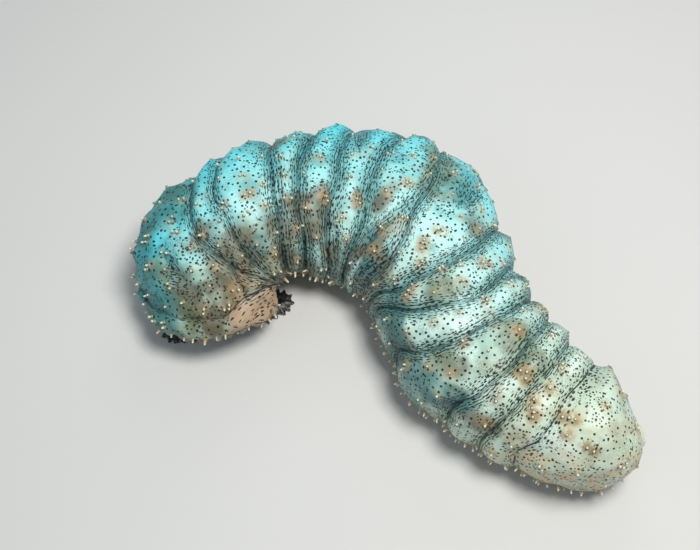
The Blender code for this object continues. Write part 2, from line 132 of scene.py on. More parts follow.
# Short creases that stay inside a lobe: start and end (distance, angle), width and depth
SHORT_CREASES = (
    ((31, -34), (19, 0), 3.0, 2.6),
    ((160, 0), (152, 62), 3.4, 3.6),
    ((163, -66), (175, -8), 3.0, 2.4),
    ((120, -60), (119, -12), 3.0, 1.6),
    ((212, -70), (217, -34), 3.0, 2.0),
    ((35, 22), (19, 38), 2.4, 2.2),
)

# Areas and swellings are measured on the skin as if it were this far from the midline
SKIN_RADIUS = 40

# Swellings on single lobes: distance, angle, radius, height
SWELLINGS = (
    (253, -8, 12, 3.2),
    (270, -3, 10, 2.6),
    (213, 16, 13, 2.6),
    (148, -40, 14, 2.5),
    (182, 30, 13, 1.8),
    (9, 46, 12, 2.2),
    (3, 68, 9, 5.5),
)

# Mouth
LIP_RADIUS = 4.0
SCALLOP_TURN = 15
SCALLOP_SHARE = 0.5
ORAL_DISC_SHARE = 0.55
ORAL_DISC_DEPTH = 4.0

# The flap between the rim of the mouth and the first crease starts at this angle
FLAP_START = 12

# Rows along the skin and columns round it
GIRTH_STEPS = 380
ROW_STEP = 0.8
ROWS_PACK = 0.5
LIP_STEPS = 14
LIP_END_TURN = 140
DISC_STEPS = 8
RING_SHARES = (0.66, 0.33, 0.02)
TAIL_END_SHARE = 0.8
VENT_STEPS = 6
VENT_SHARES = (0.6, 0.3, 0.02)

# Flat charts of the skin, where each lobe has a band of its own, and the folds between the bands
TAIL_CHART_TURN = 0.8
CHART_OFFSET = 97.0
NO_CREASE_GAP = 50
DEEP_CREASE = 5.0
SHORT_DEEP_CREASE = 3.5
FOLD_WIDTH = 2.0
FOLD_SPREAD = 1.7

# Swells, lumps and pebbles, which are held back beside folds, and wrinkles beside the creases
SWELL_SIZE = 24.0
SWELL_HEIGHT = 1.9
LUMP_SIZE = 9.0
LUMP_HEIGHT = 0.8
HEAD_LUMPS = 1.8
FOLD_EDGE = 5.0
PEBBLE_SIZE = 2.6
PEBBLE_HEIGHT = 0.13
WRINKLE_REACH = 8.5
WRINKLE_SPACING = 1.75
WRINKLE_HEIGHT = 0.26
DRIFT_SIZE = 9.0

# Where such details fade: towards the sole, at both ends of the skin, and where rows crowd
DETAIL_ENDS = (112, 140)
END_RELIEF = 0.3
CROWDED_STEP = 0.5

# Papillae of the back: places along the body, and the spacing of the groups there
GROUP_PLACES = (20, 70, 200, 290)
GROUP_SPACING = (9.0, 11.5, 11.5, 15.0)
GROUP_CANDIDATES = 6000
CREST_GAP = 3.2
HEAD_LENGTH = 60
MARKED_GROUPS = (
    # distance, angle, papillae
    (100, 68, 2), (97, 22, 2), (125, 18, 2), (58, 8, 2), (150, -4, 2), (158, 27, 1), (186, 12, 3),
    (183, -2, 2), (205, -22, 3), (208, 34, 3), (240, 20, 1), (253, -9, 1), (270, 6, 3), (283, 5, 1),
    (283, 27, 3), (280, 19, 1), (298, 17, 3), (300, 31, 1), (313, 38, 2), (270, 62, 1),
)
PATCH_SIZE = 0.006
BEAD_STEP = 2.7
MOUND_RADIUS = 3.1
MOUND_HEIGHT = 0.9
HALO_RADIUS = 4.2
PAPILLA_SIDES = 10
BACK_ANGLE_LIMIT = 88
BARE_RIM = 9
BARE_END = 4
SECOND_PAPILLA_CHANCE = 0.4
THIRD_PAPILLA_CHANCE = 0.15
CONE_CHANCE = 0.6

# Forms of papillae: height, radius of the root, of the tip or neck, and of the bead
CONE = (2.4, 1.2, 0.42)
BEAD = (1.3, 1.15, 0.54, 0.57)
SLENDER = (2.9, 1.1, 0.5)

# Papillae of the margin, tube feet
MARGIN_SPACING = 4.8
MARGIN_CANDIDATES = 1500
MARGIN_ROWS = (100, 108, 116)
MARGIN_ROW_REACH = 1.2
FRINGE_LEVELS = (13.0, 17.0)
FRINGE_REACH = 0.8
RIM_ROWS = 3
RIM_ANGLE = 130
FOOT_SPACING = 6.5
FOOT_CANDIDATES = 4000
FOOT_ANGLES = (-172, -163, -153, -141, -130, 130, 141, 153, 163, 172)
FOOT_ROW_REACH = 0.8
FEET_FROM = 16
FEET_TO = 300
FOOT_RADIUS = 1.35
FOOT_SIDES = 12
FOOT_REACH = 6.0
FOOT_LENGTH = 3.2

# Oral tentacles
TENTACLE_RINGS = (
    # count, root spread, foot spread across, foot spread along
    (14, 12.0, 33.0, 4.0),
    (6, 6.0, 16.0, 2.5),
)
SHIELD_RADIUS = 7.2
SHIELD_LOBES = 9
STALK_RADIUS = 2.0
STALK_ROWS = 10
TENTACLE_SIDES = 48
CROWN_CENTRE = (-83.5, 3.2)
CROWN_TILT = 17
SHIELD_RISE = 3.0
SHIELD_LEAST_LEVEL = 0.15
SHIELD_PROFILE = (
    # reach, rise and share of the frill, from the stalk out over the top, round the rim and under
    (0.3, 1.05, 0.0),
    (0.5, 0.95, 0.15),
    (0.7, 0.8, 0.4),
    (0.88, 0.62, 0.75),
    (1.0, 0.5, 1.0),
    (1.03, 0.32, 1.0),
    (0.95, 0.15, 0.9),
    (0.7, 0.05, 0.4),
    (0.35, 0.03, 0.0),
    (0.02, 0.03, 0.0),
)

# Vent
ANUS_RADIUS = 5.6
VENT_SIDES = 60
VENT_TEETH = 5
VENT_PROFILE = (
    # level, radius and share of the teeth
    (-0.6, 5.9, 0.0),
    (0.4, 5.5, 0.1),
    (0.9, 4.9, 0.3),
    (1.2, 4.0, 0.6),
    (1.1, 3.0, 0.5),
    (0.6, 2.2, 0.2),
    (-0.2, 1.6, 0.0),
    (-0.8, 0.2, 0.0),
)

# Numbers that the skin's material reads at each vertex, besides the areas of colour
SKIN_VALUES = ("gap", "depth", "fold", "halo", "aqua", "head", "flap", "tail", "cream", "warm", "under")

# Areas of colour on the skin: distance, angle, radius
COLOUR_AREAS = {
    "brown": (
        (9, 1, 6), (11, -66, 6), (16, 20, 7), (40, 24, 12), (28, 28, 10), (20, -14, 10), (38, -3, 6),
        (64, 44, 11), (78, 28, 9), (91, 38, 12), (96, 20, 8), (125, 18, 7), (146, 12, 9), (164, 27, 8),
        (166, 44, 9), (150, 60, 9), (186, 46, 9), (222, 62, 9), (247, 34, 7), (185, -28, 9),
        (268, 62, 9),
    ),
    "olive": (
        (13, -14, 8), (9, -48, 7), (24, -30, 7), (44, -48, 8), (80, -30, 7), (253, -8, 12),
        (270, 1, 11), (214, 14, 12), (236, -52, 9), (240, 42, 10), (158, -18, 10), (152, -38, 10),
    ),
    # Painted shade on the outer side of the head and on both flanks
    "shade": (
        (12, -38, 12), (22, -62, 14), (38, -66, 14), (10, -80, 12), (206, 47, 9), (214, 62, 11),
        (232, 74, 10), (243, 64, 12), (257, 54, 8), (166, -28, 9), (44, -32, 10), (138, -66, 12),
        (84, -62, 10), (50, 44, 8), (152, 34, 9), (176, 62, 10),
    ),
    # Paler skin, partly the skin's own pale lobes and partly a painted highlight
    "bright": (
        (28, -4, 9), (60, 12, 12), (98, 52, 6), (113, 30, 10), (68, 50, 6), (180, 4, 16), (228, 12, 12),
        (262, 28, 10), (296, 44, 14),
    ),
}

# Camera and light
TARGET = (-15.43, 13.7, 30.0)
CAMERA_ELEVATION = 62
CAMERA_DISTANCE = 534.7
LENS = 50
FLOOR_SIZE = 8000

# Colours, as linear red, green and blue
PALE = (0.34, 0.55, 0.49, 1)
# The skin's own blue-green with painted blue light of the water in it
AQUA_AND_BLUE_LIGHT = (0.025, 0.43, 0.50, 1)
CREAM = (0.52, 0.62, 0.46, 1)
# Pale skin and painted highlight; the second colour is used where the painted blue light falls
PALE_AND_HIGHLIGHT = (0.80, 0.98, 0.88, 1)
PALE_AQUA_AND_HIGHLIGHT = (0.09, 0.86, 0.98, 1)
TAN = (0.36, 0.28, 0.15, 1)
BROWN = (0.14, 0.115, 0.065, 1)
HEAD_TAN = (0.33, 0.36, 0.24, 1)
HEAD_BROWN = (0.13, 0.11, 0.06, 1)
# Painted orange-tinted light
WARM_LIGHT = (0.74, 0.56, 0.32, 1)
FLAP_PINK = (0.55, 0.37, 0.24, 1)
OLIVE = (0.14, 0.17, 0.08, 1)
# Dark blue-green of painted shade
PAINTED_SHADE = (0.04, 0.19, 0.19, 1)
HALO = (0.50, 0.33, 0.14, 1)
HALO_DARK = (0.24, 0.12, 0.04, 1)
UNDER = (0.22, 0.15, 0.08, 1)
# Painted shade in the bottom of the creases, and a lighter, bluer painted shade on their sides
CREASE_SHADE = (0.035, 0.12, 0.13, 1)
CREASE_SIDE_SHADE = (0.14, 0.40, 0.42, 1)
GREY = (0.10, 0.17, 0.15, 1)
DOT = (0.008, 0.012, 0.012, 1)
PAPILLA_ROOT = (0.34, 0.42, 0.32, 1)
PAPILLA_BROWN = (0.30, 0.23, 0.12, 1)
PAPILLA_TAN = (0.55, 0.46, 0.26, 1)
BEAD_WHITE = (0.70, 0.78, 0.66, 1)
FOOT_BROWN = (0.32, 0.24, 0.12, 1)
FOOT_TIP = (0.50, 0.42, 0.26, 1)
VENT_PALE = (0.62, 0.62, 0.46, 1)
BLACK = (0.006, 0.007, 0.008, 1)
GREY_BLACK = (0.016, 0.018, 0.02, 1)
WHITISH = (0.62, 0.62, 0.54, 1)
FLOOR_LOW = (0.62, 0.62, 0.61, 1)
FLOOR_HIGH = (0.66, 0.66, 0.65, 1)

# Areas of colour with a ragged edge: name, size of its noise, start and end of the edge, share, colour
RAGGED_AREAS = (
    ("brown", 11, 0.25, 1.15, 0.85, BROWN),
    ("olive", 9, 0.25, 1.15, 0.82, OLIVE),
    # The next layer is painted shade
    ("shade", 12, 0.25, 1.15, 0.8, PAINTED_SHADE),
    ("flap", 7, 0.2, 0.9, 0.9, FLAP_PINK),
)
UNDER_SHARE = 0.75

# Marks on the skin: spacing, radius and its spread, looseness of the pattern, softness of the edge
DOTS = (3.9, 0.67, 0.22, 0.7)
SMALL_DOTS = (2.2, 0.45, 0.25, 0.9)
DASHES = (1.45, 0.37, 0.2, 0.75)
FLAP_DOTS = (2.1, 0.44, 0.26, 0.8)
STIPPLE = (1.1, 0.3, 0.2, 1.0, 0.16)
DASH_STRETCH = (0.42, 1.2, 1)
DASH_REACH = 7.6
LINE_SPACING = 1.6
WOBBLE_SIZE = 1.6

# Dots of the tail: spacing, radius, and how far from the surface their middles may be
TAIL_DOTS = (3.1, 0.6, 1.1)
SMALL_TAIL_DOTS = (1.9, 0.42, 0.7)

# Lights: name, place in metres, size in metres, power in watts, tint
LIGHTS = (
    ("key", (0.20, -0.06, 0.85), 0.30, 7.0, (1.0, 0.98, 0.94)),
    ("fill", (-0.7, -0.3, 0.5), 0.8, 0.9, (0.80, 0.94, 1.0)),
    ("rim", (0.1, 0.8, 0.5), 0.6, 1.2, (0.95, 0.98, 1.0)),
)
LIT_PLACE = (0, 0, 0.03)
SKY_TINT = (0.85, 0.93, 1.0, 1)
SKY_STRENGTH = 0.25


def ease(x, start, end):
    """0 before start, 1 after end, smooth between."""
    t = np.clip((x - start) / (end - start), 0, 1)
    return t * t * (3 - 2 * t)


def bell(x, width):
    """1 at zero, falling smoothly to almost nothing at two widths."""
    return np.exp(-((x / width) ** 2))


def length(vectors):
    return np.linalg.norm(vectors, axis=-1)


def running_sum(steps):
    """The sum of the steps so far, from 0 on."""
    return np.concatenate([np.zeros_like(steps[:1]), np.cumsum(steps, axis=0)])


def full_turn(sides):
    """Angles in radians, even round a circle."""
    return np.arange(sides) * 2 * math.pi / sides


def circle(turns, first, second):
    """Directions that turn from the first one to the second one."""
    return np.cos(turns)[:, None] * first + np.sin(turns)[:, None] * second


def through(x, keys, values, level_ends=False):
    """A smooth curve through the values that doesn't overshoot them."""
    keys = np.asarray(keys, float)
    values = np.asarray(values, float)
    step = np.diff(keys)
    slope = np.diff(values) / step
    tangent = np.zeros_like(values)
    turning = slope[:-1] * slope[1:] <= 0
    before = 2 * step[1:] + step[:-1]
    after = step[1:] + 2 * step[:-1]
    safe_in = np.where(turning, 1, slope[:-1])
    safe_out = np.where(turning, 1, slope[1:])
    tangent[1:-1] = np.where(turning, 0, (before + after) / (before / safe_in + after / safe_out))
    if not level_ends:
        tangent[0], tangent[-1] = slope[0], slope[-1]
    i = np.clip(np.searchsorted(keys, x) - 1, 0, len(step) - 1)
    t = np.clip((x - keys[i]) / step[i], 0, 1)
    rest = 1 - t
    ends = values[i] * (1 + 2 * t) * rest**2 + values[i + 1] * (3 - 2 * t) * t**2
    return ends + step[i] * t * rest * (tangent[i] * rest - tangent[i + 1] * t)


def station(column, distance):
    """A column of the cross-section's table, at each distance along the midline."""
    rows = np.array(STATIONS, float)
    return through(distance, rows[:, 0], rows[:, column])


def make_midline():
    """Places and frames along the midline at every quarter millimetre."""
    distance = np.linspace(0, BODY_LENGTH, 4 * BODY_LENGTH + 1)
    heading, climb = (np.radians(station(column, distance)) for column in (1, 2))
    forward = np.cos(climb)
    along = np.stack([np.cos(heading) * forward, np.sin(heading) * forward, np.sin(climb)], -1)
    inner = np.stack([np.sin(heading), -np.cos(heading), 0 * heading], -1)
    up = np.cross(inner, along)
    place = running_sum((along[1:] + along[:-1]) / 2 * (distance[1] - distance[0]))
    level = np.interp(LEVEL_AT, distance, place[:, 2])
    place += (MOUTH_X, MOUTH_Y, TRUNK_HEIGHT - level)
    return distance, place, along, inner, up


MIDLINE = make_midline()


def on_midline(kind, distance):
    """Interpolates the midline's place (1), direction (2), inner (3) or upward (4) vector."""
    return np.stack([np.interp(distance, MIDLINE[0], MIDLINE[kind][:, axis]) for axis in range(3)], -1)


def tail_scale(distance):
    """How the cross-section shrinks to the end of the tail."""
    beyond = np.clip((distance - BODY_LENGTH + TAIL_LENGTH) / TAIL_LENGTH, 0, 1)
    return np.sqrt(np.clip(1 - beyond**TAIL_ROUNDNESS, 0, 1))


def tube(distance, angle):
    """A place on the smooth tube, with the outward direction there."""
    turn = np.radians(angle)
    side, height = np.sin(turn), np.cos(turn)
    scale = tail_scale(distance)
    width = np.where(side < 0, station(3, distance), station(4, distance))
    above, below = station(5, distance), station(6, distance)
    flatness = ease(distance, SOLE_STARTS, SOLE_COMPLETE)
    belly_power = ROUND_BELLY_POWER + (FLAT_SOLE_POWER - ROUND_BELLY_POWER) * flatness
    back = above * np.abs(height) ** BACK_POWER
    belly = -below * np.abs(height) ** belly_power
    x = width * scale * np.sign(side) * np.abs(side) ** SIDE_POWER
    z = scale * np.where(height > 0, back, belly)
    reach = np.where(height > 0, above, below)
    inner, up = on_midline(3, distance), on_midline(4, distance)
    place = on_midline(1, distance) + x[..., None] * inner + z[..., None] * up
    outward = (x / width**2)[..., None] * inner + (z / reach**2)[..., None] * up
    outward /= np.linalg.norm(outward, axis=-1, keepdims=True) + 1e-9
    return place, outward


def crease_distance(number, angle):
    """Where a crease runs, as a distance along the midline, for each angle."""
    if number > LAST_LOBE:
        return np.full(np.shape(angle), float(BODY_LENGTH))
    outer, back, shoulder, flank, sole = CREASES[number][:5]
    line = through(angle, CREASE_ANGLES, (sole, outer, back, shoulder, flank, sole), level_ends=True)
    slow, quick = (np.sin(angle / turn + 2.1 * number) for turn in STRAY_TURNS)
    return line + CREASE_STRAY * (slow + 0.5 * quick) * (1 - ease(np.abs(angle), SOLE_ANGLE, 170))


def crease_strength(number, angle):
    """How marked a crease is, in mm of depth in the solids."""
    if number > LAST_LOBE:
        return np.zeros(np.shape(angle))
    outer, back, flank = CREASES[number][5:]
    keys = (-SOLE_ANGLE, -80, 0, 80, SOLE_ANGLE)
    return through(angle, keys, (0, outer, back, flank, 0), level_ends=True)


def crease_depth(number, angle):
    """The depth of a crease in the skin, which is less on the back."""
    kept = DEPTH_KEPT + DEPTH_VARIES * np.sin(angle / DEPTH_TURN + 1.7 * number)
    if number > 1:
        kept += INNER_DEPTH * ease(angle, *INNER_ANGLES)
    return crease_strength(number, angle) * kept * (1 - BACK_DEPTH_LOSS * bell(angle, BACK_REACH))


def crease_to_crease(lobe, angle):
    """The length of a lobe on the smooth tube, at each angle."""
    start, _ = tube(crease_distance(lobe, angle), angle)
    end, _ = tube(crease_distance(lobe + 1, angle), angle)
    return length(end - start)


def lobe_fill(number, angle):
    """How much of its full relief a lobe has room for, from its length at each angle."""
    number = min(max(number, 0), LAST_LOBE)
    return np.clip(crease_to_crease(number, angle) / FULL_LOBE_LENGTH, SMALLEST_LOBE, 1)


def surface_distance(lobe, share, angle):
    """The distance along the midline for a share of the way over a lobe."""
    start = crease_distance(lobe, angle)
    if lobe == LAST_LOBE:
        share = 1 - (1 - share) ** 2
    return start + (crease_distance(lobe + 1, angle) - start) * share


def short_creases(distance, angle):
    """For each short crease: its share at the angle, the way to its line, its width and depth."""
    for (start, first), (end, last), width, depth in SHORT_CREASES:
        along = np.clip((angle - first) / (last - first), 0, 1)
        share = np.sin(np.pi * along) ** 0.5
        yield share, np.abs(distance - start - (end - start) * along), width, depth


def short_crease_relief(distance, angle):
    total = np.zeros(np.shape(distance))
    for share, away, width, depth in short_creases(distance, angle):
        total -= depth * share * np.exp(-((away / width) ** 1.4))
    return total


def area_reach(distance, angle, centre, middle, radius):
    """How far places are from the middle of a round area, squared, as a share of its radius."""
    across = np.radians(angle - middle) * SKIN_RADIUS
    return ((distance - centre) ** 2 + across**2) / radius**2


def swelling_relief(distance, angle):
    total = np.zeros(np.shape(distance))
    for centre, middle, radius, height in SWELLINGS:
        total += height * np.exp(-1.6 * area_reach(distance, angle, centre, middle, radius))
    return total


def relief(lobe, share, angle):
    """How far the skin stands out from the tube."""
    distance = surface_distance(lobe, share, angle)
    above_sole = 1 - ease(np.abs(angle), SOLE_EDGE, SOLE_ANGLE)
    fill = lobe_fill(lobe, angle)
    near = crease_depth(lobe, angle) * np.minimum(fill, lobe_fill(lobe - 1, angle))
    far = crease_depth(lobe + 1, angle) * np.minimum(fill, lobe_fill(lobe + 1, angle))
    depth = near + (far - near) * ease(share, 0, 1)
    fullness = LOBE_FULLNESS + BACK_SOFTNESS * bell(angle, BACK_REACH)
    if lobe == LAST_LOBE:
        share = np.minimum(share, 0.5)
        fullness = TAIL_FULLNESS
    arch = np.sin(np.pi * share) ** fullness
    lift = arch * LOBE_RISE * fill * above_sole - (1 - arch) * depth
    waves = WAVE_HEIGHT * np.sin(distance / WAVE_TURNS[0] + 2 * np.radians(angle))
    waves = waves * np.sin(np.radians(3.3 * angle) + distance / WAVE_TURNS[1])
    extra = short_crease_relief(distance, angle) + swelling_relief(distance, angle) + waves * arch
    return (lift + extra * above_sole * fill) * tail_scale(distance)


def skin_point(lobe, share, angle):
    """A place on the skin, with the outward direction of the tube under it."""
    angle = np.asarray(angle, float)
    place, outward = tube(surface_distance(lobe, share, angle), angle)
    return place + relief(lobe, share, angle)[..., None] * outward, outward


def lattice_noise(points, size, seed):
    """Smooth noise from -1 to 1, with features about as large as the given size."""
    table = np.random.default_rng(seed).random((32, 32, 32)) * 2 - 1
    scaled = points / size + 1000
    cell = np.floor(scaled).astype(int)
    part = scaled - cell
    part = part * part * (3 - 2 * part)
    total = np.zeros(points.shape[:-1])
    for corner in range(8):
        step = np.array((corner & 1, corner >> 1 & 1, corner >> 2 & 1))
        weight = np.prod(np.where(step == 1, part, 1 - part), axis=-1)
        index = (cell + step) % 32
        total += weight * table[index[..., 0], index[..., 1], index[..., 2]]
    return total


def unit(vectors):
    return vectors / (np.linalg.norm(vectors, axis=-1, keepdims=True) + 1e-12)


def grid_normals(points):
    """Outward normals of a grid of rows (along the body) and columns (round it)."""
    along = np.gradient(points, axis=0)
    around = np.roll(points, -1, axis=1) - np.roll(points, 1, axis=1)
    return unit(np.cross(around, along))


def lobe_rows(lobe, angles):
    """Shares of a lobe's length for its rows, closer together near its creases."""
    count = int(crease_to_crease(lobe, angles).max() / ROW_STEP)
    even = np.arange(count) / count
    return even - ROWS_PACK * np.sin(2 * np.pi * even) / (2 * np.pi)


def lip_grid(angles):
    """Rows that roll the rim of the mouth inward and go down to the middle of the oral disc."""
    rim, outward = skin_point(0, 0.0, angles)
    along = on_midline(2, crease_distance(0, angles))
    scallops = np.cos(np.radians(360 / SCALLOP_TURN * angles) + 1.3 * np.sin(np.radians(5 * angles)))
    forward = LIP_RADIUS * (1 + SCALLOP_SHARE * scallops)[:, None] * along
    rows = []
    for turn in np.radians(np.linspace(0, LIP_END_TURN, LIP_STEPS + 1)[1:]):
        rows.append(rim - LIP_RADIUS * (1 - math.cos(turn)) * outward - math.sin(turn) * forward)
    centre = rim.mean(0)
    disc = centre + (rim - centre) * ORAL_DISC_SHARE + along.mean(0) * ORAL_DISC_DEPTH
    for share in np.linspace(0, 1, DISC_STEPS + 1)[1:]:
        rows.append(rows[LIP_STEPS - 1] * (1 - share) + disc * share)
    middle = disc.mean(0)
    for share in RING_SHARES:
        rows.append(middle + (disc - middle) * share)
    return np.array(rows[::-1])


def tail_frame():
    """The middle of the flat end of the tail, with the directions along, inner and up there."""
    tip, along, inner, up = (on_midline(kind, float(BODY_LENGTH)) for kind in (1, 2, 3, 4))
    middle = skin_point(LAST_LOBE, TAIL_END_SHARE, np.arange(0, 360, 10.0) - 180)[0].mean(0)
    return middle + along * np.dot(tip - middle, along), along, inner, up


def vent_grid(angles, last_row):
    """Rows from the last row of the tail in to the flat end that carries the vent."""
    tip, along, inner, up = tail_frame()
    seat = tip + ANUS_RADIUS * circle(np.radians(angles), up, inner)
    rows = [last_row + (seat - last_row) * share for share in np.linspace(0, 1, VENT_STEPS + 1)[1:]]
    rows += [tip + (seat - tip) * share for share in VENT_SHARES]
    return np.array(rows)


def nearest_crease(lobe, shares, angles, points):
    """Distance in mm to the nearer crease of a lobe, its depth from 0 to 1, and a chart of the places
    along it."""
    start, _ = skin_point(lobe, 0.0, angles)
    end = points[-1] if lobe == LAST_LOBE else skin_point(lobe + 1, 0.0, angles)[0]
    near = shares[:, None] * length(end - start)
    far = (1 - shares[:, None]) * length(end - start)
    if lobe == LAST_LOBE:
        far = far + 100
    near_depth, far_depth = (crease_strength(number, angles) / DEEP_CREASE for number in (lobe, lobe + 1))
    gap = np.minimum(near, far)
    depth = np.where(near < far, near_depth, far_depth)
    along = np.broadcast_to(running_sum(length(np.diff(start, axis=0))), gap.shape)
    side = np.where(near < far, gap, -gap)
    return gap, np.clip(depth, 0, 1), np.stack([along, side + CHART_OFFSET * lobe], -1)


def mark_short_creases(gap, depth, distance, angle):
    """The distance to a crease and its depth again, now with the short creases counted."""
    for share, away, _, marked in short_creases(distance, angle):
        nearer = away < gap
        depth = np.where(nearer, np.maximum(depth, share * marked / SHORT_DEEP_CREASE), depth)
        gap = np.where(nearer, gap - (gap - away) * share, gap)
    return gap, depth


def tail_chart(reach):
    """The end of the tail laid flat round its middle, from the distance of each place to it."""
    turn = np.linspace(-math.pi, math.pi, reach.shape[1], endpoint=False) * TAIL_CHART_TURN
    return np.stack([reach * np.sin(turn) + CHART_OFFSET * LAST_LOBE, reach * np.cos(turn)], -1)


def lobe_chart(lobe, points, fold):
    """The lobe's skin laid flat, in mm, with the skin hidden in the folds counted as well."""
    steps = length(np.diff(points, axis=0))
    steps = steps * (1 + FOLD_SPREAD * (fold[1:] + fold[:-1]) / 2)
    down = running_sum(steps)
    if lobe == LAST_LOBE:
        return tail_chart(down[-1:] - down + length(points[-1] - tail_frame()[0]))
    middle = len(points) // 2
    centre = points.shape[1] // 2
    steps_round = np.diff(points[middle], axis=0)
    slant = np.sum(steps_round * unit(points[middle + 1] - points[middle - 1])[:-1], axis=-1)
    straight = np.sqrt(np.maximum(np.sum(steps_round**2, axis=-1) - slant**2, 0))
    around, rise = running_sum(straight), running_sum(slant)
    around = around - around[centre]
    down = down - down[middle] + rise - rise[centre]
    return np.stack([np.broadcast_to(around, down.shape), down + CHART_OFFSET * lobe], -1)


def plain_part(points, distance):
    """Rows of skin without a crease."""
    shape = points.shape[:2]
    return {
        "points": points,
        "distance": np.full(shape, float(distance)),
        "gap": np.full(shape, NO_CREASE_GAP),
        "depth": np.zeros(shape),
        "beside": np.zeros(shape + (2,)),
    }


def lobe_part(lobe, angles):
    """Rows of skin of one lobe, with the nearest crease and the flat charts at each place."""
    shares = lobe_rows(lobe, angles)
    if lobe == LAST_LOBE:
        shares = shares[shares < TAIL_END_SHARE]
    points, _ = skin_point(lobe, shares[:, None], angles[None, :])
    distance = surface_distance(lobe, shares[:, None], angles[None, :])
    gap, depth, beside = nearest_crease(lobe, shares, angles, points)
    chart = lobe_chart(lobe, points, depth * bell(gap, FOLD_WIDTH))
    gap, depth = mark_short_creases(gap, depth, distance, angles[None, :])
    keys = ("points", "distance", "gap", "depth", "beside", "chart")
    return dict(zip(keys, (points, distance, gap, depth, beside, chart)))


def make_grid():
    """The whole skin as one grid of places, with what the material and the papillae need to know."""
    angles = np.arange(GIRTH_STEPS) * 360 / GIRTH_STEPS - 180
    lobes = [lobe_part(lobe, angles) for lobe in range(LAST_LOBE + 1)]
    lip = plain_part(lip_grid(angles), 0)
    lip_rows = len(lip["points"])
    lip["chart"] = lobes[0]["chart"][:1] + np.arange(-lip_rows, 0)[:, None, None] * (0, ROW_STEP)
    vent = plain_part(vent_grid(angles, lobes[-1]["points"][-1]), BODY_LENGTH)
    vent["chart"] = tail_chart(length(vent["points"] - tail_frame()[0]))
    grid = {key: np.concatenate([part[key] for part in (lip, *lobes, vent)]) for key in lip}
    grid["lip_rows"] = lip_rows
    grid["vent_rows"] = len(vent["points"])
    grid["tail_row"] = lip_rows + sum(len(part["points"]) for part in lobes[:-1])
    grid["angle"] = np.broadcast_to(angles, grid["distance"].shape)
    grid["fold"] = grid["depth"] * bell(grid["gap"], FOLD_WIDTH)
    grid["normals"] = grid_normals(grid["points"])
    return grid


def scatter(grid, allowed, spacing, tries, chance):
    """Indices of places on the grid, no closer together than the spacing at each."""
    points = grid["points"].reshape(-1, 3)
    down = length(np.gradient(grid["points"], axis=0))
    across = length(np.roll(grid["points"], -1, axis=1) - grid["points"])
    weight = (down * across * allowed).ravel()
    spacing = np.broadcast_to(spacing, allowed.shape)
    tries = min(tries, int(np.count_nonzero(weight)))
    order = chance.choice(weight.size, size=tries, replace=False, p=weight / weight.sum())
    kept = []
    places = np.zeros((0, 3))
    for index in order:
        gap = length(places - points[index])
        if len(kept) == 0 or gap.min() > spacing.flat[index]:
            kept.append(index)
            places = np.vstack([places, points[index]])
    return kept


def place_back_papillae(grid):
    """Indices of the papillae of the back: groups of one to three on the crests of the lobes."""
    chance = np.random.default_rng(SEED)
    distance, angle = grid["distance"], grid["angle"]
    points = grid["points"].reshape(-1, 3)
    normals = grid["normals"].reshape(-1, 3)
    spacing = np.interp(distance, GROUP_PLACES, GROUP_SPACING)
    allowed = (grid["gap"] > CREST_GAP) & (np.abs(angle) < BACK_ANGLE_LIMIT)
    allowed &= (distance > BARE_RIM) & (distance < BODY_LENGTH - BARE_END)
    allowed &= (angle < FLAP_START) | (distance > crease_distance(1, angle) + CREST_GAP)
    marked = {}
    for centre, middle, count in MARKED_GROUPS:
        index = int(np.argmin((distance - centre) ** 2 + (angle - middle) ** 2))
        marked[index] = count
        allowed &= length(grid["points"] - points[index]) > spacing
    centres = list(marked) + scatter(grid, allowed, spacing, GROUP_CANDIDATES, chance)
    tree = kdtree.KDTree(len(points))
    for index, point in enumerate(points):
        tree.insert(point, index)
    tree.balance()
    found = []
    for centre in centres:
        members = marked.get(centre)
        if not members:
            members = 1 + int(chance.random() < SECOND_PAPILLA_CHANCE)
            members += int(chance.random() < THIRD_PAPILLA_CHANCE)
        turn = chance.uniform(0, 2 * math.pi)
        found.append(centre)
        for member in range(1, members):
            across, other = frame_round(normals[centre])
            bend = turn + member * chance.uniform(1.6, 3.0)
            reach = BEAD_STEP * chance.uniform(0.85, 1.25)
            target = points[centre] + reach * (math.cos(bend) * across + math.sin(bend) * other)
            found.append(tree.find(target)[1])
    return found, tree


def frame_round(direction):
    """Two directions at right angles to the given one."""
    helper = np.array((1.0, 0, 0)) if abs(direction[2]) > 0.7 else np.array((0, 0, 1.0))
    across = unit(np.cross(direction, helper))
    return across, np.cross(direction, across)


def papilla_mounds(points, papillae, tree):
    """The height of the mounds under the papillae and the strength of their halos, at each place."""
    mounds = np.zeros(len(points))
    halo = np.zeros(len(points))
    chance = random.Random(SEED + 5)
    marked_papillae = sum(count for _, _, count in MARKED_GROUPS)
    for number, index in enumerate(papillae):
        size = chance.uniform(0.8, 1.2)
        strength = 1.0 if number < marked_papillae else chance.uniform(0.2, 0.8)
        near = tree.find_range(points[index], 2.2 * HALO_RADIUS)
        which = [item[1] for item in near]
        away = np.array([item[2] for item in near])
        mound = size * MOUND_HEIGHT * np.exp(-1.4 * (away / MOUND_RADIUS) ** 2)
        mounds[which] = np.maximum(mounds[which], mound)
        halo[which] = np.maximum(halo[which], strength * bell(away, HALO_RADIUS))
    return mounds, halo


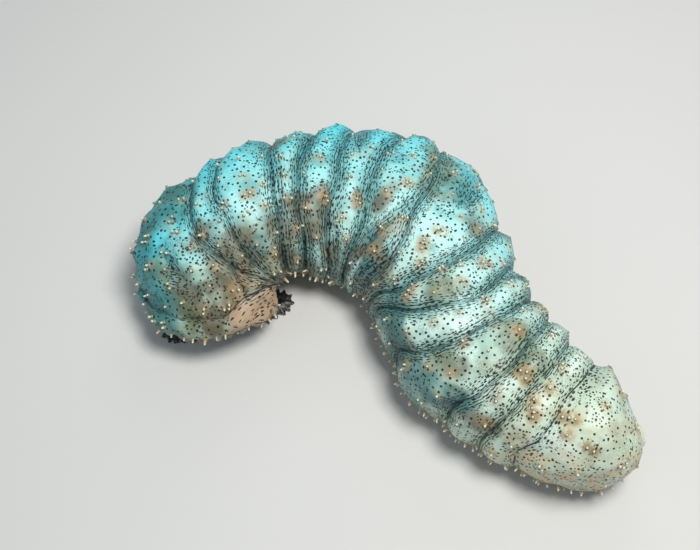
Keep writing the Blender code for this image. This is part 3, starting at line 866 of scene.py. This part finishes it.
def raise_details(grid, papillae, tree):
    """Adds lumps, pebbles, wrinkles and mounds to the skin, and notes the halos of the papillae."""
    points, gap, depth = grid["points"], grid["gap"], grid["depth"]
    head = 1 - ease(grid["distance"], HEAD_LENGTH / 2, HEAD_LENGTH)
    lumps = lattice_noise(points, LUMP_SIZE, SEED) * (LUMP_HEIGHT + HEAD_LUMPS * head)
    lumps += lattice_noise(points, SWELL_SIZE, SEED + 3) * SWELL_HEIGHT
    lumps *= (1 - grid["fold"]) * (1 - depth * bell(gap, FOLD_EDGE))
    pebbles = lattice_noise(points, PEBBLE_SIZE, SEED + 1) * PEBBLE_HEIGHT
    drift = lattice_noise(points, DRIFT_SIZE, SEED + 2)
    reach = depth * bell(gap, WRINKLE_REACH) * (0.6 + 0.4 * drift)
    waves = np.cos(2 * math.pi * gap / WRINKLE_SPACING + 1.8 * drift)
    mounds, halo = papilla_mounds(points.reshape(-1, 3), papillae, tree)
    raised = lumps + pebbles + reach * waves * WRINKLE_HEIGHT + mounds.reshape(gap.shape)
    on_back = 1 - ease(np.abs(grid["angle"]), *DETAIL_ENDS)
    ends = np.ones(gap.shape)
    ends[: grid["lip_rows"]] = END_RELIEF
    ends[-grid["vent_rows"] :] = END_RELIEF
    room = np.clip(length(np.gradient(points, axis=0)) / CROWDED_STEP, 0.1, 1)
    room[gap < CREST_GAP] = 1
    grid["points"] = points + grid["normals"] * (raised * on_back * ends * room)[..., None]
    grid["halo"] = halo.reshape(gap.shape)
    grid["normals"] = grid_normals(grid["points"])


def tint_body(grid):
    """Values from 0 to 1 that place the large areas of colour on the skin, painted blue light,
    orange-tinted light, highlight and shade among them, from the distance along the body in mm and the
    angle round it in degrees."""
    distance, angle = grid["distance"], grid["angle"]
    outer = ease(-angle, -45, 60) * (1 - 0.4 * ease(-angle, 65, 105))
    inner = ease(angle, 15, 70) * (1 - ease(distance, 230, 290)) * (1 - 0.5 * ease(grid["gap"], 3, 8))
    front = ease(distance - 0.5 * angle, 0, 35)
    # Painted blue light over the skin's own blue-green: strongest on the outer flank of the front half
    grid["aqua"] = (1 - ease(distance, 90, 310)) * (0.25 + 0.75 * outer) * front
    # Painted orange-tinted light cast on the inner side of the tail's end
    grid["warm"] = ease(distance, 255, 300) * ease(angle, 25, 85)
    grid["head"] = 1 - ease(distance - 0.6 * angle, 16, 46)
    before_fold = 1 - ease(distance - crease_distance(1, angle), -1.0, 0.5)
    behind_fold = ease(angle, 5, 30) * (1 - ease(distance - 0.3 * angle, 14, 30)) * (1 - before_fold)
    grid["flap"] = ease(angle, 2, 24) * before_fold * (1 - ease(angle, 85, 105)) + 0.5 * behind_fold
    grid["flap"][: grid["lip_rows"]] = 0
    grid["tail"] = np.zeros(distance.shape)
    grid["tail"][grid["tail_row"] :] = 1
    grid["cream"] = ease(distance, 215, 300) * (0.45 + 0.55 * ease(angle, -45, 25))
    grid["under"] = ease(np.abs(angle), 88, 122)
    grid["under"][: grid["lip_rows"]] = 0.6
    # Painted shade on the outer flank, more from the middle of the body on, on the outer side of the
    # head, and on the inner flank from 190 to 268 mm
    top_flank_shade = ease(-angle, 38, 80) * (0.5 + 0.45 * ease(distance, 125, 165))
    top_flank_shade += 0.75 * ease(-angle, 10, 60) * (1 - ease(distance, 30, 70))
    low_flank_shade = 0.7 * ease(angle, 40, 75) * ease(distance, 190, 215) * (1 - ease(distance, 240, 268))
    beyond = {"brown": 0.8 * inner, "olive": 0.0, "shade": top_flank_shade + low_flank_shade, "bright": 0.0}
    for name, areas in COLOUR_AREAS.items():
        grid[name] = np.clip(colour_areas(distance, angle, areas) + beyond[name], 0, 1)


def colour_areas(distance, angle, areas):
    """The sum of soft round areas on the skin."""
    total = np.zeros(distance.shape)
    for centre, middle, radius in areas:
        total += np.exp(-(area_reach(distance, angle, centre, middle, radius) ** 1.5))
    return total


def new_object(name, points, faces, material):
    """A smooth mesh object from points in mm and faces with the same number of corners each."""
    data = bpy.data.meshes.new(name)
    points = np.asarray(points, float).reshape(-1, 3) * MM
    faces = np.asarray(faces, int)
    corners = faces.shape[1]
    data.vertices.add(len(points))
    data.vertices.foreach_set("co", points.astype(np.float32).ravel())
    data.loops.add(faces.size)
    data.loops.foreach_set("vertex_index", faces.ravel())
    data.polygons.add(len(faces))
    data.polygons.foreach_set("loop_start", np.arange(len(faces)) * corners)
    data.update(calc_edges=True)
    data.validate()
    data.shade_smooth()
    data.materials.append(material)
    item = bpy.data.objects.new(name, data)
    bpy.context.scene.collection.objects.link(item)
    return item


def add_values(item, name, values):
    """Stores one number for each vertex."""
    attribute = item.data.attributes.new(name, "FLOAT", "POINT")
    attribute.data.foreach_set("value", np.asarray(values, np.float32).ravel())


def add_map(item, name, corners):
    """Stores a flat map: one pair of numbers for each corner of each face."""
    layer = item.data.uv_layers.new(name=name)
    layer.data.foreach_set("uv", np.asarray(corners, np.float32).ravel())


def face_corners(rows, columns):
    """The row and the column of each corner of the faces between rows."""
    row, column = np.meshgrid(np.arange(rows - 1), np.arange(columns), indexing="ij")
    return [(row, column), (row, column + 1), (row + 1, column + 1), (row + 1, column)]


def grid_faces(rows, columns):
    """Quads of a grid that closes round its columns, facing outward."""
    corners = [row * columns + column % columns for row, column in face_corners(rows, columns)]
    return np.stack(corners, -1).reshape(-1, 4)


def make_skin(grid, material):
    """The fine skin of the whole body, from the oral disc to the vent."""
    rows, columns = grid["distance"].shape
    item = new_object("body_skin", grid["points"], grid_faces(rows, columns), material)
    for name in (*SKIN_VALUES, *COLOUR_AREAS):
        add_values(item, name, grid[name])
    corners = face_corners(rows, columns)
    for name, chart in (("skin_map", grid["chart"]), ("crease_map", grid["beside"])):
        chart = np.concatenate([chart, chart[:, -1:] * 2 - chart[:, -2:-1]], axis=1)
        add_map(item, name, np.stack([chart[corner] for corner in corners], axis=2))
    atlas = [np.stack([column / columns, row / (rows - 1)], -1) for row, column in corners]
    add_map(item, "OFBake", np.stack(atlas, axis=2))
    return item


def bumps(places, directions, profiles, sides):
    """Many small round forms as one mesh: points, faces, and each vertex's share of the way to the tip.

    A profile is a list of (height, radius) from the root to the tip, one list for each form.
    """
    turns = full_turn(sides)
    rings = profiles.shape[1]
    points, faces = [], []
    for number, (place, direction, profile) in enumerate(zip(places, directions, profiles)):
        ring = circle(turns, *frame_round(direction))
        rows = place + profile[:, 0, None, None] * direction + profile[:, 1, None, None] * ring[None]
        points.append(rows.reshape(-1, 3))
        faces.append(grid_faces(rings, sides) + number * rings * sides)
    shares = np.tile(np.repeat(np.linspace(0, 1, rings), sides), len(points))
    return np.concatenate(points), np.concatenate(faces), shares


def patch_map(item, grid, indices, rings, sides):
    """Gives each small form a round patch of the atlas at its root's place."""
    rows, columns = grid["distance"].shape
    indices = np.asarray(indices)
    centres = np.stack([(indices % columns) / columns, (indices // columns) / rows], -1)
    turns = np.arange(sides + 1) * 2 * math.pi / sides
    reach = np.linspace(1, 0.1, rings)
    disc = []
    for ring, side in face_corners(rings, sides):
        disc.append(np.stack([reach[ring] * np.cos(turns[side]), reach[ring] * np.sin(turns[side])], -1))
    patch = np.stack(disc, axis=2).reshape(-1, 4, 2) * PATCH_SIZE / 2
    add_map(item, "OFBake", np.concatenate([centre + patch for centre in centres]))


def bead_profile(size, form, sunk):
    """A papilla with a broad root, a narrow neck and a round white bead."""
    height, root, neck, bead = (size * part for part in form)
    return [
        (-sunk, root),
        (height * 0.1, root * 0.8),
        (height * 0.25, (root + neck) / 2.1),
        (height * 0.42, neck),
        (height * 0.58, bead * 0.9),
        (height * 0.76, bead),
        (height * 0.94, bead * 0.7),
        (height * 1.02, bead * 0.12),
    ]


def cone_profile(size, form, sunk):
    """A slender papilla that tapers to a blunt tip."""
    height, root, tip = (size * part for part in form)
    return [
        (-sunk, root),
        (height * 0.1, root * 0.82),
        (height * 0.3, root * 0.62),
        (height * 0.5, (root + tip) / 2.3),
        (height * 0.7, tip * 1.02),
        (height * 0.86, tip),
        (height * 0.97, tip * 0.66),
        (height * 1.02, tip * 0.1),
    ]


def plant(name, grid, indices, directions, profiles, sides, material):
    """One mesh of small forms that stand at the given places of the grid."""
    profiles = np.array(profiles)
    places = grid["points"].reshape(-1, 3)[indices]
    points, faces, shares = bumps(places, directions, profiles, sides)
    item = new_object(name, points, faces, material)
    add_values(item, "tip", shares)
    patch_map(item, grid, indices, profiles.shape[1], sides)
    return item


def make_papillae(name, grid, indices, profiles, lean, material):
    """Papillae that stand out from the skin, each leaning a little its own way."""
    chance = np.random.default_rng(SEED + len(indices))
    normals = grid["normals"].reshape(-1, 3)[indices]
    directions = unit(normals + chance.normal(0, 0.12, normals.shape) + np.asarray(lean))
    return plant(name, grid, indices, directions, profiles, PAPILLA_SIDES, material)


def make_back_papillae(grid, indices, material):
    """Cones and beads on the back."""
    chance = random.Random(SEED + 7)
    distance = grid["distance"].ravel()
    profiles = []
    for index in indices:
        size = chance.uniform(0.8, 1.15)
        if distance[index] < HEAD_LENGTH and chance.random() < CONE_CHANCE:
            profiles.append(cone_profile(size, CONE, 0.8))
        else:
            profiles.append(bead_profile(size, BEAD, 0.6))
    return make_papillae("papillae", grid, indices, profiles, (0, 0, 0), material)


def margin_indices(grid):
    """Places of the slender papillae along both edges of the sole, round the tail and the mouth."""
    chance = np.random.default_rng(SEED + 9)
    angle, distance = grid["angle"], grid["distance"]
    level = grid["points"][..., 2]
    tail = distance > BODY_LENGTH - TAIL_LENGTH
    wanted = []
    for middle in MARGIN_ROWS:
        wanted.append((np.abs(np.abs(angle) - middle) < MARGIN_ROW_REACH) & ~tail & (distance > 6))
    for fringe in FRINGE_LEVELS:
        wanted.append(tail & (np.abs(level - fringe) < FRINGE_REACH) & (np.abs(angle) > 80))
    rim = np.zeros(distance.shape, bool)
    rim[grid["lip_rows"] : grid["lip_rows"] + RIM_ROWS] = True
    wanted.append(rim & (np.abs(angle) < RIM_ANGLE))
    found = []
    for allowed in wanted:
        found += scatter(grid, allowed, MARGIN_SPACING, MARGIN_CANDIDATES, chance)
    return found


def make_margin_papillae(grid, material):
    """Slender cones round the edge of the sole."""
    indices = margin_indices(grid)
    chance = random.Random(SEED + 11)
    profiles = []
    for _ in indices:
        size = chance.uniform(0.7, 1.15)
        profiles.append(cone_profile(size, SLENDER, 0.9))
    return make_papillae("margin_papillae", grid, indices, profiles, (0, 0, 0.12), material)


def make_feet(grid, material):
    """Tube feet in rows under the sole. Those near the floor end in flat suckers on it."""
    chance = np.random.default_rng(SEED + 13)
    points, angle, distance = grid["points"], grid["angle"], grid["distance"]
    wanted = np.zeros(distance.shape, bool)
    for middle in FOOT_ANGLES:
        wanted |= np.abs(angle - middle) < FOOT_ROW_REACH
    below_fringe = points[..., 2] < FRINGE_LEVELS[0] - 2
    wanted &= (distance > FEET_FROM) & ((distance < FEET_TO) | below_fringe)
    indices = scatter(grid, wanted, FOOT_SPACING, FOOT_CANDIDATES, chance)
    directions, profiles = [], []
    for index in indices:
        level = points.reshape(-1, 3)[index][2]
        outward = grid["normals"].reshape(-1, 3)[index]
        radius = FOOT_RADIUS * chance.uniform(0.85, 1.15)
        reach = FOOT_LENGTH * chance.uniform(0.8, 1.2)
        if level < FOOT_REACH:
            outward = np.array((0, 0, -1.0))
            reach = level
        directions.append(outward)
        profiles.append(foot_profile(reach, radius))
    return plant("tube_feet", grid, indices, directions, profiles, FOOT_SIDES, material)


def foot_profile(reach, radius):
    """A soft stalk that widens to a sucker with a dimple."""
    return [
        (-1.5, radius * 1.1),
        (reach * 0.3, radius * 0.85),
        (reach * 0.62, radius * 0.75),
        (reach * 0.82, radius * 0.98),
        (reach, radius),
        (reach, radius * 0.62),
        (reach - 0.25, radius * 0.3),
        (reach - 0.25, radius * 0.02),
    ]


def tentacle_rows(root, direction, foot, chance):
    """Rows of one tentacle: a bent stalk, then a shield on the floor with a frilled rim."""
    down = np.array((0, 0, -1.0))
    above = foot + np.array((0, 0, SHIELD_RISE))
    bend = root + direction * (0.4 * np.linalg.norm(root - foot))
    turns = full_turn(TENTACLE_SIDES)
    rows, frill = [], []
    for share in np.linspace(0, 1, STALK_ROWS):
        rest = 1 - share
        centre = rest**2 * root + 2 * rest * share * bend + share**2 * above
        facing = unit(rest * (bend - root) + share * (above - bend) + 1e-6 * down)
        radius = STALK_RADIUS * (1.15 - 0.3 * share)
        rows.append(centre + radius * circle(turns, *frame_round(facing)))
        frill.append(np.zeros(TENTACLE_SIDES))
    size = SHIELD_RADIUS * chance.uniform(0.85, 1.1)
    phase = chance.uniform(0, 6)
    wave = SHIELD_LOBES * turns + phase
    lobes = 1 + 0.14 * np.cos(wave) + 0.04 * np.cos(2 * wave)
    ruffle = 0.4 * np.cos(wave + 1.3)
    flat = np.stack([np.cos(turns), np.sin(turns), 0 * turns], -1)
    for reach, rise, rim in SHIELD_PROFILE:
        row = foot + flat * (size * reach * (1 + (lobes - 1) * rim))[:, None]
        row[:, 2] = np.maximum(SHIELD_LEAST_LEVEL, rise * SHIELD_RISE + ruffle * rim)
        rows.append(row)
        frill.append(np.full(TENTACLE_SIDES, rim))
    return np.array(rows), np.array(frill)


def make_tentacles(material):
    """The crown of oral tentacles that reach from the mouth to the floor."""
    chance = random.Random(SEED + 100)
    angles = np.arange(-180, 180, 10.0)
    rim, _ = skin_point(0, 0.0, angles)
    along = unit(on_midline(2, crease_distance(0, angles)).mean(0))
    disc = rim.mean(0) + along * (ORAL_DISC_DEPTH - 0.4)
    across = unit(rim[angles == 90][0] - rim[angles == -90][0])
    other = np.cross(along, across)
    tilt = math.radians(CROWN_TILT)
    long_way = np.array((math.cos(tilt), math.sin(tilt), 0))
    short_way = np.array((-math.sin(tilt), math.cos(tilt), 0))
    points, faces, frills, start = [], [], [], 0
    for number, (count, root_spread, foot_across, foot_along) in enumerate(TENTACLE_RINGS):
        for i in range(count):
            turn = 2 * math.pi * (i + 0.5 * number) / count + chance.uniform(-0.1, 0.1)
            root = disc + root_spread * (math.cos(turn) * across + math.sin(turn) * other)
            reach = chance.uniform(0.88, 1.03)
            foot = foot_across * math.cos(turn) * long_way + foot_along * math.sin(turn) * short_way
            foot = np.array((*CROWN_CENTRE, 0)) + reach * foot
            rows, frill = tentacle_rows(root, -along, foot, chance)
            points.append(rows.reshape(-1, 3))
            faces.append(grid_faces(len(rows), TENTACLE_SIDES) + start)
            frills.append(frill.ravel())
            start += frill.size
    item = new_object("tentacles", np.concatenate(points), np.concatenate(faces), material)
    add_values(item, "frill", np.concatenate(frills))
    return item


def make_vent(material):
    """A low ring of small teeth round the vent."""
    tip, along, inner, up = tail_frame()
    turns = full_turn(VENT_SIDES)
    around = circle(turns, up, inner)
    teeth = np.maximum(0, np.cos(VENT_TEETH * turns)) ** 1.5
    rows = []
    for level, radius, share in VENT_PROFILE:
        row = tip + along * level + around * radius + along * (teeth * share)[:, None]
        rows.append(row + lattice_noise(row, 2.0, SEED + 20)[:, None] * around * 0.25)
    item = new_object("vent_ring", np.concatenate(rows), grid_faces(len(rows), VENT_SIDES), material)
    add_values(item, "tip", np.repeat(np.linspace(0, 1, len(rows)), VENT_SIDES))
    return item


class Field:
    """The output of a shader node. Formulas of fields and numbers become nodes too."""

    def __init__(self, nodes, socket):
        self.nodes = nodes
        self.socket = socket

    def __add__(self, other):
        return self.nodes.maths("ADD", self, other)

    def __sub__(self, other):
        return self.nodes.maths("SUBTRACT", self, other)

    def __rsub__(self, other):
        return self.nodes.maths("SUBTRACT", other, self)

    def __mul__(self, other):
        return self.nodes.maths("MULTIPLY", self, other)

    def __truediv__(self, other):
        return self.nodes.maths("DIVIDE", self, other)

    def __abs__(self):
        return self.nodes.maths("ABSOLUTE", self)

    def highest(self, other):
        return self.nodes.maths("MAXIMUM", self, other)

    def band(self, start, end):
        """0 at the start value, 1 at the end value, smooth between."""
        inputs = {"Value": self, "From Min": start, "From Max": end}
        return self.nodes.add("ShaderNodeMapRange", inputs, "Result", interpolation_type="SMOOTHSTEP")

    def vector(self, operation, other=(0, 0, 0), output="Vector"):
        """Maths with another vector, or with a number for a scale."""
        second = "Scale" if operation == "SCALE" else 1
        inputs = {0: self, second: other}
        return self.nodes.add("ShaderNodeVectorMath", inputs, output, operation=operation)


class Nodes:
    """The shader nodes of one material. What is the same all over is set on the shader itself."""

    def __init__(self, name, roughness, subsurface=0.0, coat=0.0):
        self.material = bpy.data.materials.new(name)
        self.material.use_nodes = True
        self.tree = self.material.node_tree
        self.shader = self.tree.nodes["Principled BSDF"]
        self.set("Roughness", roughness)
        self.set("Subsurface Weight", subsurface)
        self.set("Subsurface Radius", (1.0, 0.6, 0.4))
        self.set("Subsurface Scale", 0.0015)
        self.set("Coat Weight", coat)
        self.set("Coat Roughness", 0.25)

    def set(self, name, value):
        self.shader.inputs[name].default_value = value

    def add(self, kind, inputs, output, **settings):
        """A node with its settings, its inputs either linked or set, and one of its outputs."""
        node = self.tree.nodes.new(kind)
        for key, value in settings.items():
            setattr(node, key, value)
        for key, value in inputs.items():
            if isinstance(value, Field):
                self.tree.links.new(value.socket, node.inputs[key])
            else:
                node.inputs[key].default_value = value
        return Field(self, node.outputs[output])

    def maths(self, operation, first, second=0.0):
        """A formula of one or two numbers."""
        return self.add("ShaderNodeMath", {0: first, 1: second}, 0, operation=operation)

    def blend(self, share, first, second):
        """The first value where the share is 0, the second where it is 1."""
        inputs = {0: share, 2: first, 3: second}
        return self.add("ShaderNodeMix", inputs, 0, data_type="FLOAT", clamp_factor=True)

    def mix(self, share, low, high):
        """The low colour where the share is 0, the high one where it is 1."""
        inputs = {0: share, 6: low, 7: high}
        return self.add("ShaderNodeMix", inputs, 2, data_type="RGBA", clamp_factor=True)

    def layered(self, ground, layers):
        """The ground with layers of colour over it, each with its share."""
        for share, tint in layers:
            ground = self.mix(share, ground, tint)
        return ground

    def value(self, name):
        """What the vertices store under a name."""
        return self.add("ShaderNodeAttribute", {}, "Fac", attribute_name=name)

    def place(self):
        return self.add("ShaderNodeTexCoord", {}, "Object")

    def cloud(self, size_mm, detail):
        """Soft noise from 0 to 1 with features of about the given size."""
        inputs = {"Vector": self.place(), "Scale": 1 / (size_mm * MM), "Detail": detail}
        return self.add("ShaderNodeTexNoise", inputs, "Fac")

    def ragged_area(self, name, size_mm, low, high):
        """A stored area of colour with an edge that noise breaks up."""
        return (self.value(name) + (self.cloud(size_mm, 4) - 0.5) * 1.6).band(low, high)

    def wobbled_chart(self, name, strength):
        """A flat chart of the skin, pushed about a little so that no spot is a perfect disc."""
        chart = self.add("ShaderNodeUVMap", {}, "UV", uv_map=name)
        inputs = {"Vector": chart, "Scale": 1 / WOBBLE_SIZE, "Detail": 1.0}
        noise = self.add("ShaderNodeTexNoise", inputs, "Color", noise_dimensions="2D")
        push = noise.vector("SUBTRACT", (0.5, 0.5, 0.5)).vector("SCALE", strength)
        return chart.vector("ADD", push)

    def spots(self, chart, spacing, radius, spread, looseness, edge=0.1):
        """Round spots in a flat chart, in mm, with a radius of their own each."""
        inputs = {"Vector": chart, "Scale": 1 / spacing, "Randomness": looseness}
        cells = self.add("ShaderNodeTexVoronoi", inputs, "Distance", voronoi_dimensions="2D")
        tint = Field(self, cells.socket.node.outputs["Color"])
        draw = self.add("ShaderNodeSeparateColor", {0: tint}, 0)
        inside = draw * spread + (radius - spread / 2) - cells * spacing
        return inside.band(-edge, edge)

    def solid_spots(self, spacing, radius, thickness):
        """Round spots round places in space near the surface, for skin whose chart is uneven."""
        solid = self.place().vector("SCALE", 1 / MM)
        inputs = {"Vector": solid, "Scale": 1 / spacing, "Randomness": 0.8}
        cells = self.add("ShaderNodeTexVoronoi", inputs, "Position", voronoi_dimensions="3D")
        away = solid.vector("SUBTRACT", cells)
        normal = self.add("ShaderNodeNewGeometry", {}, "Normal")
        height = away.vector("DOT_PRODUCT", normal, "Value")
        reach = away.vector("SUBTRACT", normal.vector("SCALE", height)).vector("LENGTH", output="Value")
        depth = abs(height).band(thickness, 0.8 * thickness)
        return (depth * radius - reach).band(-0.1, 0.1)

    def finish(self, painted, height=None, depth=0.0, strength=0.0):
        """Gives the material its colour and a fine relief of some depth in metres."""
        self.tree.links.new(painted.socket, self.shader.inputs["Base Color"])
        if height is not None:
            inputs = {"Height": height, "Distance": depth, "Strength": strength}
            bump = self.add("ShaderNodeBump", inputs, "Normal")
            self.tree.links.new(bump.socket, self.shader.inputs["Normal"])
        return self.material


def skin_ground(nodes):
    """The ground colour of the skin under its dots, with painted blue light, orange-tinted light,
    highlight and shade in it.
    """
    aqua, head = nodes.value("aqua"), nodes.value("head")
    # Painted highlight on the tops of the lobes, away from the creases and less on the tail, joined with
    # the paler areas
    crest_highlight = nodes.value("gap").band(2.0, 8.0) * 0.62 * (1 - nodes.value("tail") * 0.5)
    bright = crest_highlight.highest(nodes.value("bright") * 0.95) * nodes.cloud(18, 2).band(0.28, 0.52)
    patches = nodes.cloud(16, 4).band(0.5, 0.68) * (1 - aqua * 0.7)
    # Painted orange-tinted light on the inner side of the tail's end, broken by noise
    warm = nodes.value("warm") * nodes.cloud(10, 3).band(0.4, 0.62)
    halo = nodes.value("halo") * nodes.cloud(3.2, 3).band(0.22, 0.5) * (1 - aqua * 0.45)
    layers = [
        (nodes.value("cream"), CREAM),
        (bright, nodes.mix(aqua, PALE_AND_HIGHLIGHT, PALE_AQUA_AND_HIGHLIGHT)),
        (patches * 0.5, TAN),
        (warm * 0.8, WARM_LIGHT),
        (head * 0.75, HEAD_TAN),
        (head * nodes.cloud(12, 3).band(0.42, 0.6) * 0.8, HEAD_BROWN),
    ]
    for name, size_mm, low, high, share, tint in RAGGED_AREAS:
        layers.append((nodes.ragged_area(name, size_mm, low, high) * share, tint))
    layers += [
        (halo.band(0.08, 0.65) * 0.55, HALO),
        (halo.band(0.5, 0.9) * 0.5, HALO_DARK),
        (nodes.value("under") * UNDER_SHARE, UNDER),
    ]
    # The ground turns blue-green where the painted blue light falls
    return nodes.layered(nodes.mix(aqua, PALE, AQUA_AND_BLUE_LIGHT), layers)


def skin_lines(nodes, gap, depth):
    """Thin broken lines beside the creases, and a dark line of painted shade in the bottom of the shallow
    ones.
    """
    wander = nodes.cloud(6, 2) * 2.2
    waves = nodes.maths("SINE", (gap + wander) * (2 * math.pi / LINE_SPACING))
    close = (gap / (depth + 0.01)).band(5.6, 3.8) * depth.band(0.3, 0.6)
    lines = waves.band(0.5, 0.85) * nodes.cloud(3.5, 2).band(0.42, 0.5) * close
    # Painted shade: a dark line in the bottom of the shallow creases, whose relief is too shallow to
    # darken them
    seam_shade = gap.band(0.4, 0.15) * depth.band(0.15, 0.3) * depth.band(1.0, 0.6)
    return lines.highest(seam_shade * nodes.cloud(9, 2).band(0.38, 0.46))


def skin_marks(nodes):
    """How dark the skin's marks are: dots, small dots in nets, dashes, lines beside the creases and a
    line of painted shade in the shallow creases.
    """
    gap, depth, tail = (nodes.value(name) for name in ("gap", "depth", "tail"))
    flap = nodes.value("flap").band(0.5, 0.7)
    reach = (depth * DASH_REACH + 0.4) * (nodes.cloud(10, 2) + 0.5)
    beside = (gap / reach).band(1.0, 0.8)
    away = (1 - beside) * (1 - flap)
    chart = nodes.wobbled_chart("skin_map", 0.35)
    dots = nodes.blend(tail, nodes.spots(chart, *DOTS), nodes.solid_spots(*TAIL_DOTS))
    small = nodes.blend(tail, nodes.spots(chart, *SMALL_DOTS), nodes.solid_spots(*SMALL_TAIL_DOTS))
    small = small * abs(nodes.cloud(17, 2) - 0.5).band(0.05, 0.025)
    line = nodes.wobbled_chart("crease_map", 0.3).vector("MULTIPLY", DASH_STRETCH)
    dashes = nodes.blend(flap, nodes.spots(line, *DASHES) * beside, nodes.spots(line, *FLAP_DOTS))
    marks = (dots * away).highest(small.highest(dashes)).highest(skin_lines(nodes, gap, depth))
    return marks * (1 - nodes.value("under") * UNDER_SHARE)


def skin_material():
    """The skin: its ground, blue-green painted shade on the sides of creases and darker painted shade in
    them, grey stipple and dark marks.
    """
    nodes = Nodes("body_skin", 0.5, 0.12, 0.04)
    nodes.set("Specular IOR Level", 0.35)
    marks = skin_marks(nodes)
    other = nodes.value("cream").highest(nodes.value("brown"))
    # Painted shade on the sides of the deeper creases, less on cream and brown skin, and darker painted
    # shade in their bottoms
    side = nodes.value("gap").band(6.0, 0.5) * nodes.value("depth").band(0.1, 0.9) * 0.4
    stipple = nodes.spots(nodes.wobbled_chart("skin_map", 0.35), *STIPPLE)
    layers = (
        (side * (1 - other * 0.75), CREASE_SIDE_SHADE),
        (nodes.value("fold").band(0.5, 1.0) * 0.45, CREASE_SHADE),
        (stipple * nodes.cloud(12, 3).band(0.5, 0.62) * 0.55, GREY),
        (marks * 0.97, DOT),
    )
    painted = nodes.layered(skin_ground(nodes), layers)
    return nodes.finish(painted, nodes.cloud(0.9, 4) + marks * -0.25, 0.00025, 0.6)


def papilla_material(name, root, middle, tip, turn):
    """Papillae: skin colour at the root, then brown, with a white tip."""
    nodes = Nodes(name, 0.38, 0.15, 0.1)
    share = nodes.value("tip") + nodes.cloud(1.5, 2) * 0.16
    painted = nodes.mix(share.band(0.12, turn - 0.1), root, middle)
    painted = nodes.mix(share.band(turn, turn + 0.22), painted, tip)
    return nodes.finish(painted, nodes.cloud(0.6, 2), 0.0001, 0.5)


def tentacle_material():
    """Black tentacles whose frilled rims are whitish."""
    nodes = Nodes("tentacle", 0.4, 0.0, 0.15)
    edge = nodes.value("frill") + (nodes.cloud(1.6, 3) - 0.5) * 0.8
    dark = nodes.mix(nodes.cloud(4, 3).band(0.35, 0.7), BLACK, GREY_BLACK)
    painted = nodes.mix(edge.band(0.95, 1.15), dark, WHITISH)
    return nodes.finish(painted, nodes.cloud(0.8, 3), 0.0004, 0.8)


def floor_material():
    nodes = Nodes("plain_floor", 0.85)
    return nodes.finish(nodes.mix(nodes.cloud(300, 2), FLOOR_LOW, FLOOR_HIGH))


def make_floor():
    half = FLOOR_SIZE / 2
    corners = [(-half, -half, 0), (half, -half, 0), (half, half, 0), (-half, half, 0)]
    item = new_object("floor", corners, [(0, 1, 2, 3)], floor_material())


def make_light():
    """Three soft lights that shine on the middle of the body, and a faint sky."""
    for name, place, size, power, tint in LIGHTS:
        light = bpy.data.lights.new(name, "AREA")
        light.shape = "DISK"
        light.size = size
        light.energy = power
        light.color = tint
        item = bpy.data.objects.new(name, light)
        item.location = place
        item.rotation_euler = (Vector(LIT_PLACE) - Vector(place)).to_track_quat("-Z", "Y").to_euler()
        bpy.context.scene.collection.objects.link(item)
    world = bpy.data.worlds.new("studio")
    world.use_nodes = True
    background = world.node_tree.nodes["Background"]
    background.inputs["Color"].default_value = SKY_TINT
    background.inputs["Strength"].default_value = SKY_STRENGTH
    bpy.context.scene.world = world
    bpy.context.scene.view_settings.view_transform = "Standard"


def make_camera():
    """The photo's view: from in front and high above."""
    data = bpy.data.cameras.new("camera")
    data.lens = LENS
    data.sensor_width = 36
    data.clip_start = 0.01
    data.clip_end = 20
    item = bpy.data.objects.new("camera", data)
    rise = math.radians(CAMERA_ELEVATION)
    back = Vector((0, -math.cos(rise), math.sin(rise)))
    item.location = (Vector(TARGET) + back * CAMERA_DISTANCE) * MM
    item.rotation_euler = (-back).to_track_quat("-Z", "Y").to_euler()
    bpy.context.scene.collection.objects.link(item)
    bpy.context.scene.camera = item


def main():
    grid = make_grid()
    papillae, tree = place_back_papillae(grid)
    raise_details(grid, papillae, tree)
    tint_body(grid)
    skin = make_skin(grid, skin_material())
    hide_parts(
        "mouth_collar", "front_end", "neck", "trunk_front", "trunk_bend", "trunk_rear", "tail_end"
    )
    bead = papilla_material("papilla", PAPILLA_ROOT, PAPILLA_BROWN, BEAD_WHITE, 0.4)
    slender = papilla_material("margin_papilla", TAN, PAPILLA_TAN, BEAD_WHITE, 0.5)
    foot = papilla_material("tube_foot", UNDER, FOOT_BROWN, FOOT_TIP, 0.55)
    pieces = [
        (skin, "body_skin"),
        (make_back_papillae(grid, papillae, bead), "body_skin"),
        (make_margin_papillae(grid, slender), "body_skin"),
        (make_feet(grid, foot), "body_skin"),
    ]
    tentacles = make_tentacles(tentacle_material())
    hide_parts("tentacle_crown")
    vent = make_vent(papilla_material("vent", CREAM, VENT_PALE, BEAD_WHITE, 0.3))
    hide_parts("anal_ring")
    pieces += [(tentacles, "tentacle_skin"), (vent, "vent_skin")]
    for piece, slot in pieces:
        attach(piece, "root")
    make_floor()
    make_light()
    make_camera()


main()
